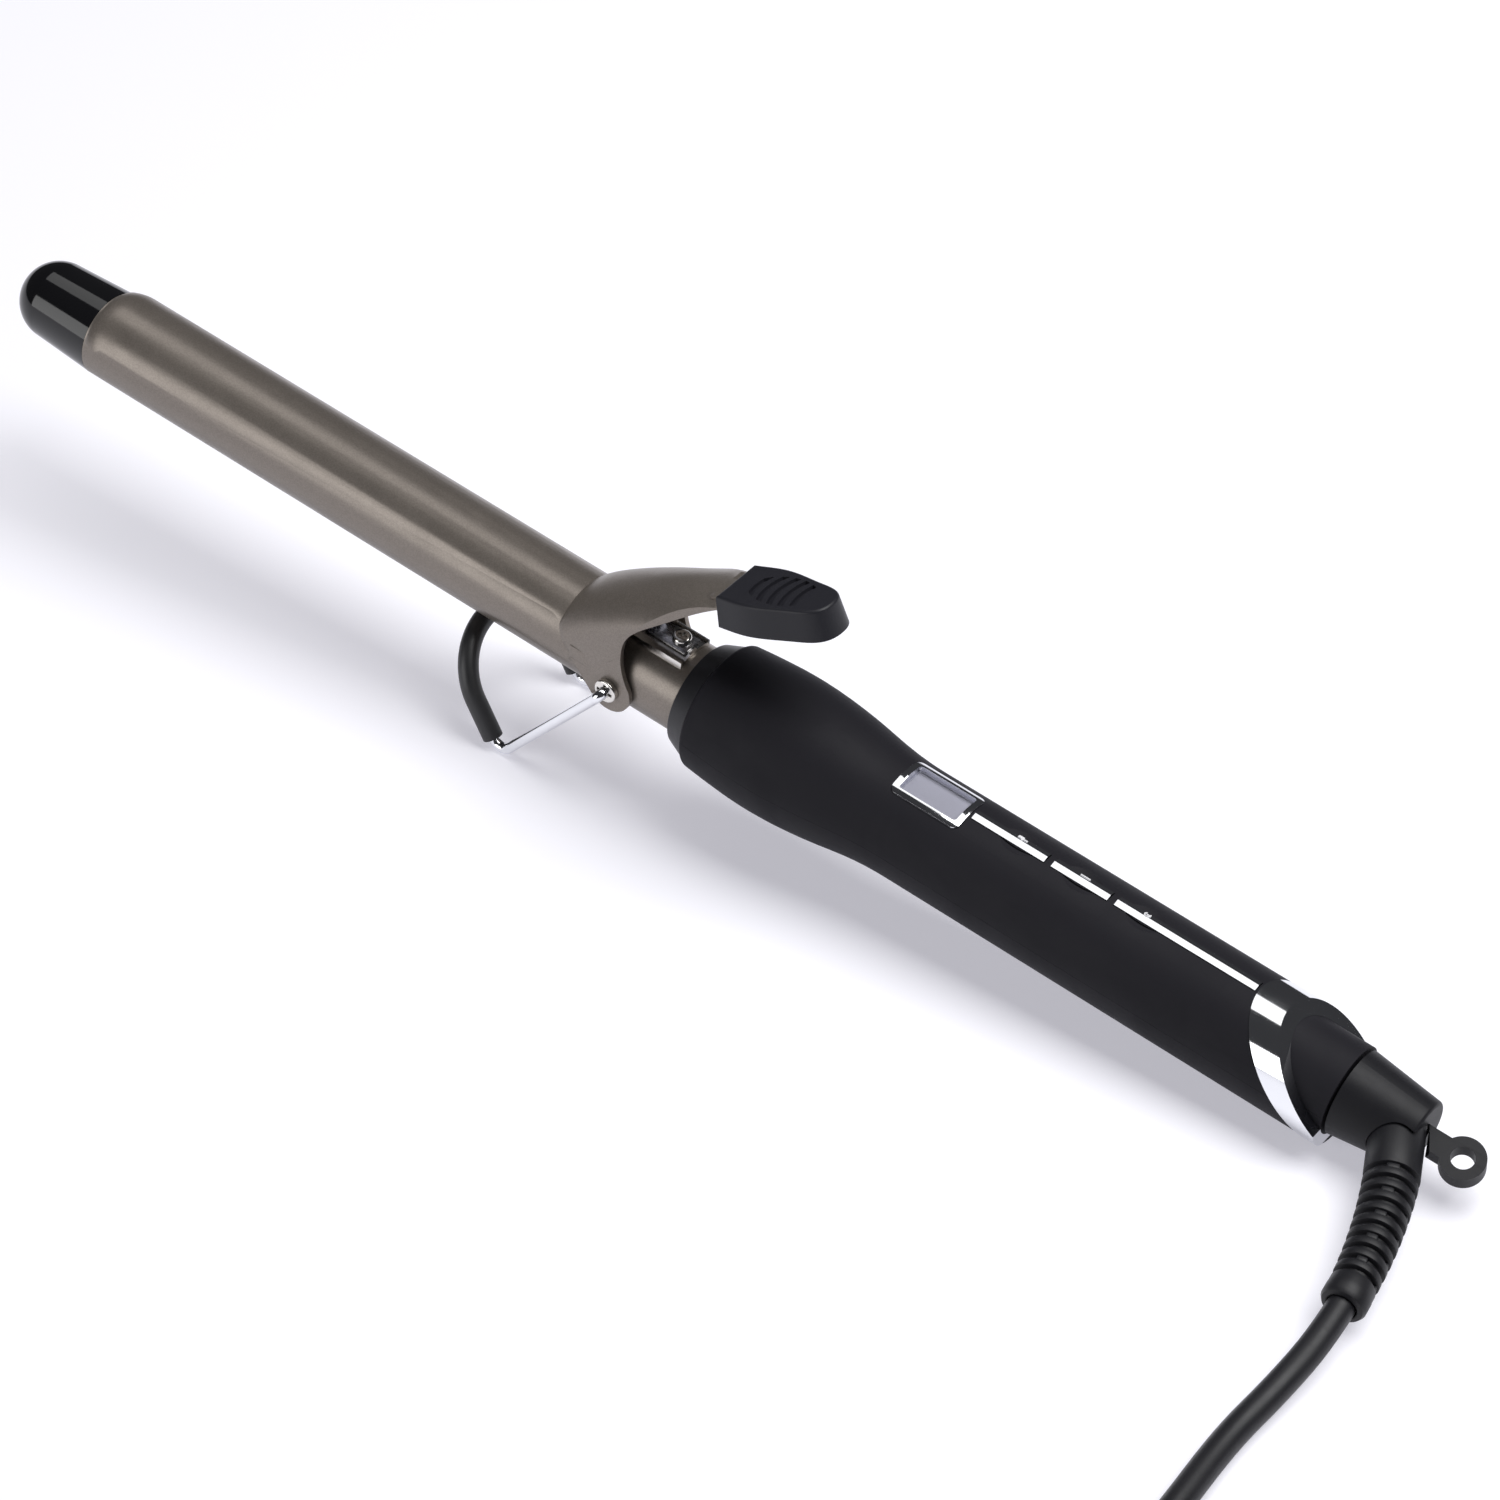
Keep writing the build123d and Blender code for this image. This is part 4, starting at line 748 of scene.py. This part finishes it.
def makeMinusSign(look):
    half = look["line"] / 2
    piece = startSign("minusSign", look["line"], look["line"])
    for side in (1, -1):
        pick(piece, "polygons", lambda c: c.x * side > half * 0.9)
        drawOut(side * (look["long"] / 2 - half), 0, 0)
    tidyMesh()
    settleSign(piece, look["minusAt"], "minus_key")
    return piece


def makePowerSign(look):
    reach = look["wide"] * look["ringReach"]
    piece = startSign("powerSign", look["line"], look["line"])
    pick(piece, "polygons", lambda c: c.x > look["line"] * 0.4)
    drawOut(look["wide"] * 0.5, 0, 0)  # the bar, from the middle out
    bpy.ops.object.mode_set(mode="OBJECT")
    bpy.ops.object.select_all(action="DESELECT")
    bpy.ops.mesh.primitive_plane_add(size=1, location=(0, 0, 0))
    bpy.context.object.dimensions = (look["line"] * look["ringLine"], look["thick"], 0)
    bpy.ops.object.transform_apply(location=True, rotation=True, scale=True)
    ring = newPiece("powerRing")
    bpy.ops.mesh.select_all(action="SELECT")
    bpy.ops.transform.rotate(value=pi / 2, orient_axis="X", center_override=(0, 0, 0))
    bpy.ops.transform.translate(value=(reach, 0, look["thick"] / 2))
    bpy.ops.transform.rotate(value=-look["ringStart"], orient_axis="Z", center_override=(0, 0, 0))
    bpy.ops.mesh.spin(steps=20, angle=look["ringTurn"], center=(0, 0, 0), axis=(0, 0, 1))
    tidyMesh()
    bpy.ops.object.select_all(action="DESELECT")
    piece.select_set(True)
    ring.select_set(True)
    bpy.context.view_layer.objects.active = piece
    bpy.ops.object.join()
    settleSign(piece, look["powerAt"], "power_key")
    return piece


plusSign = makePlusSign(signLook)
minusSign = makeMinusSign(signLook)
powerSign = makePowerSign(signLook)
print("signs modelled")

cordCurve.materials.append(made["cordSheath"])
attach(mainsCord, "swivel")
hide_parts("power_cord", "cord_coil", "plug_lead")

# floor: white to the eye and in reflections, and it keeps the shadow
floorLook = {"size": 8.0, "matt": (0.62, 0.62, 0.64), "own": (0.42, 0.415, 0.46)}
bpy.ops.mesh.primitive_plane_add(size=floorLook["size"], location=(0, 0, 0))
floor = bpy.context.object
floor.name = "paleFloor"
floorFinish = bpy.data.materials.new("paleFloor")
floorFinish.use_nodes = True
floorTree = floorFinish.node_tree
floorTree.nodes.remove(floorTree.nodes["Principled BSDF"])
floorMatt = addNode(floorTree, "BsdfDiffuse", (-300, 100), Color=(*floorLook["matt"], 1))
floorGlow = addNode(floorTree, "Emission", (-300, -100), Color=(*floorLook["own"], 1))
floorRays = addNode(floorTree, "LightPath", (-900, -100))
floorSeen = floorTree.nodes.new("ShaderNodeMath")
floorSeenToo = floorTree.nodes.new("ShaderNodeMath")
floorBoth = floorTree.nodes.new("ShaderNodeAddShader")
joinFloor = floorTree.links.new
joinFloor(floorRays.outputs["Is Camera Ray"], floorSeen.inputs[0])
joinFloor(floorRays.outputs["Is Glossy Ray"], floorSeen.inputs[1])
joinFloor(floorSeen.outputs["Value"], floorSeenToo.inputs[0])
joinFloor(floorRays.outputs["Is Transmission Ray"], floorSeenToo.inputs[1])
joinFloor(floorSeenToo.outputs["Value"], floorGlow.inputs["Strength"])
joinFloor(floorMatt.outputs["BSDF"], floorBoth.inputs[0])
joinFloor(floorGlow.outputs["Emission"], floorBoth.inputs[1])
joinFloor(floorBoth.outputs["Shader"], floorTree.nodes["Material Output"].inputs["Surface"])
floor.data.materials.append(floorFinish)
print("floor laid")

# soft studio light: the main box overhead, a dimmer strip beside it, a low card at the front left
softBoxes = {
    "overhead": {"at": (0.63, 0.30, 1.25), "aim": (0.63, 0.30, 0.0), "size": (1.2, 0.98), "power": 23.5},
    "strip": {"at": (-0.52, 0.20, 1.25), "aim": (-0.52, 0.20, 0.0), "size": (1.06, 0.66), "power": 3.0},
    "front": {"at": (-0.65, -1.20, 0.42), "aim": (-0.65, 0.0, 0.42), "size": (1.2, 0.8), "power": 7.5},
}
for boxName, box in softBoxes.items():
    bpy.ops.object.light_add(type="AREA", location=box["at"])
    lamp = bpy.context.object
    lamp.name = boxName + "Box"
    lamp.data.shape = "RECTANGLE"
    lamp.data.size, lamp.data.size_y = box["size"]
    lamp.data.energy = box["power"]
    lamp.rotation_euler = (Vector(box["aim"]) - Vector(box["at"])).to_track_quat("-Z", "Y").to_euler()
roomLook = {"tint": (0.92, 0.93, 1.0), "strength": 0.045}
room = bpy.data.worlds.new("paleRoom")
scene.world = room
room.use_nodes = True
roomGlow = room.node_tree.nodes["Background"]
roomGlow.inputs["Color"].default_value = (*roomLook["tint"], 1)
roomGlow.inputs["Strength"].default_value = roomLook["strength"]
print("lights set")
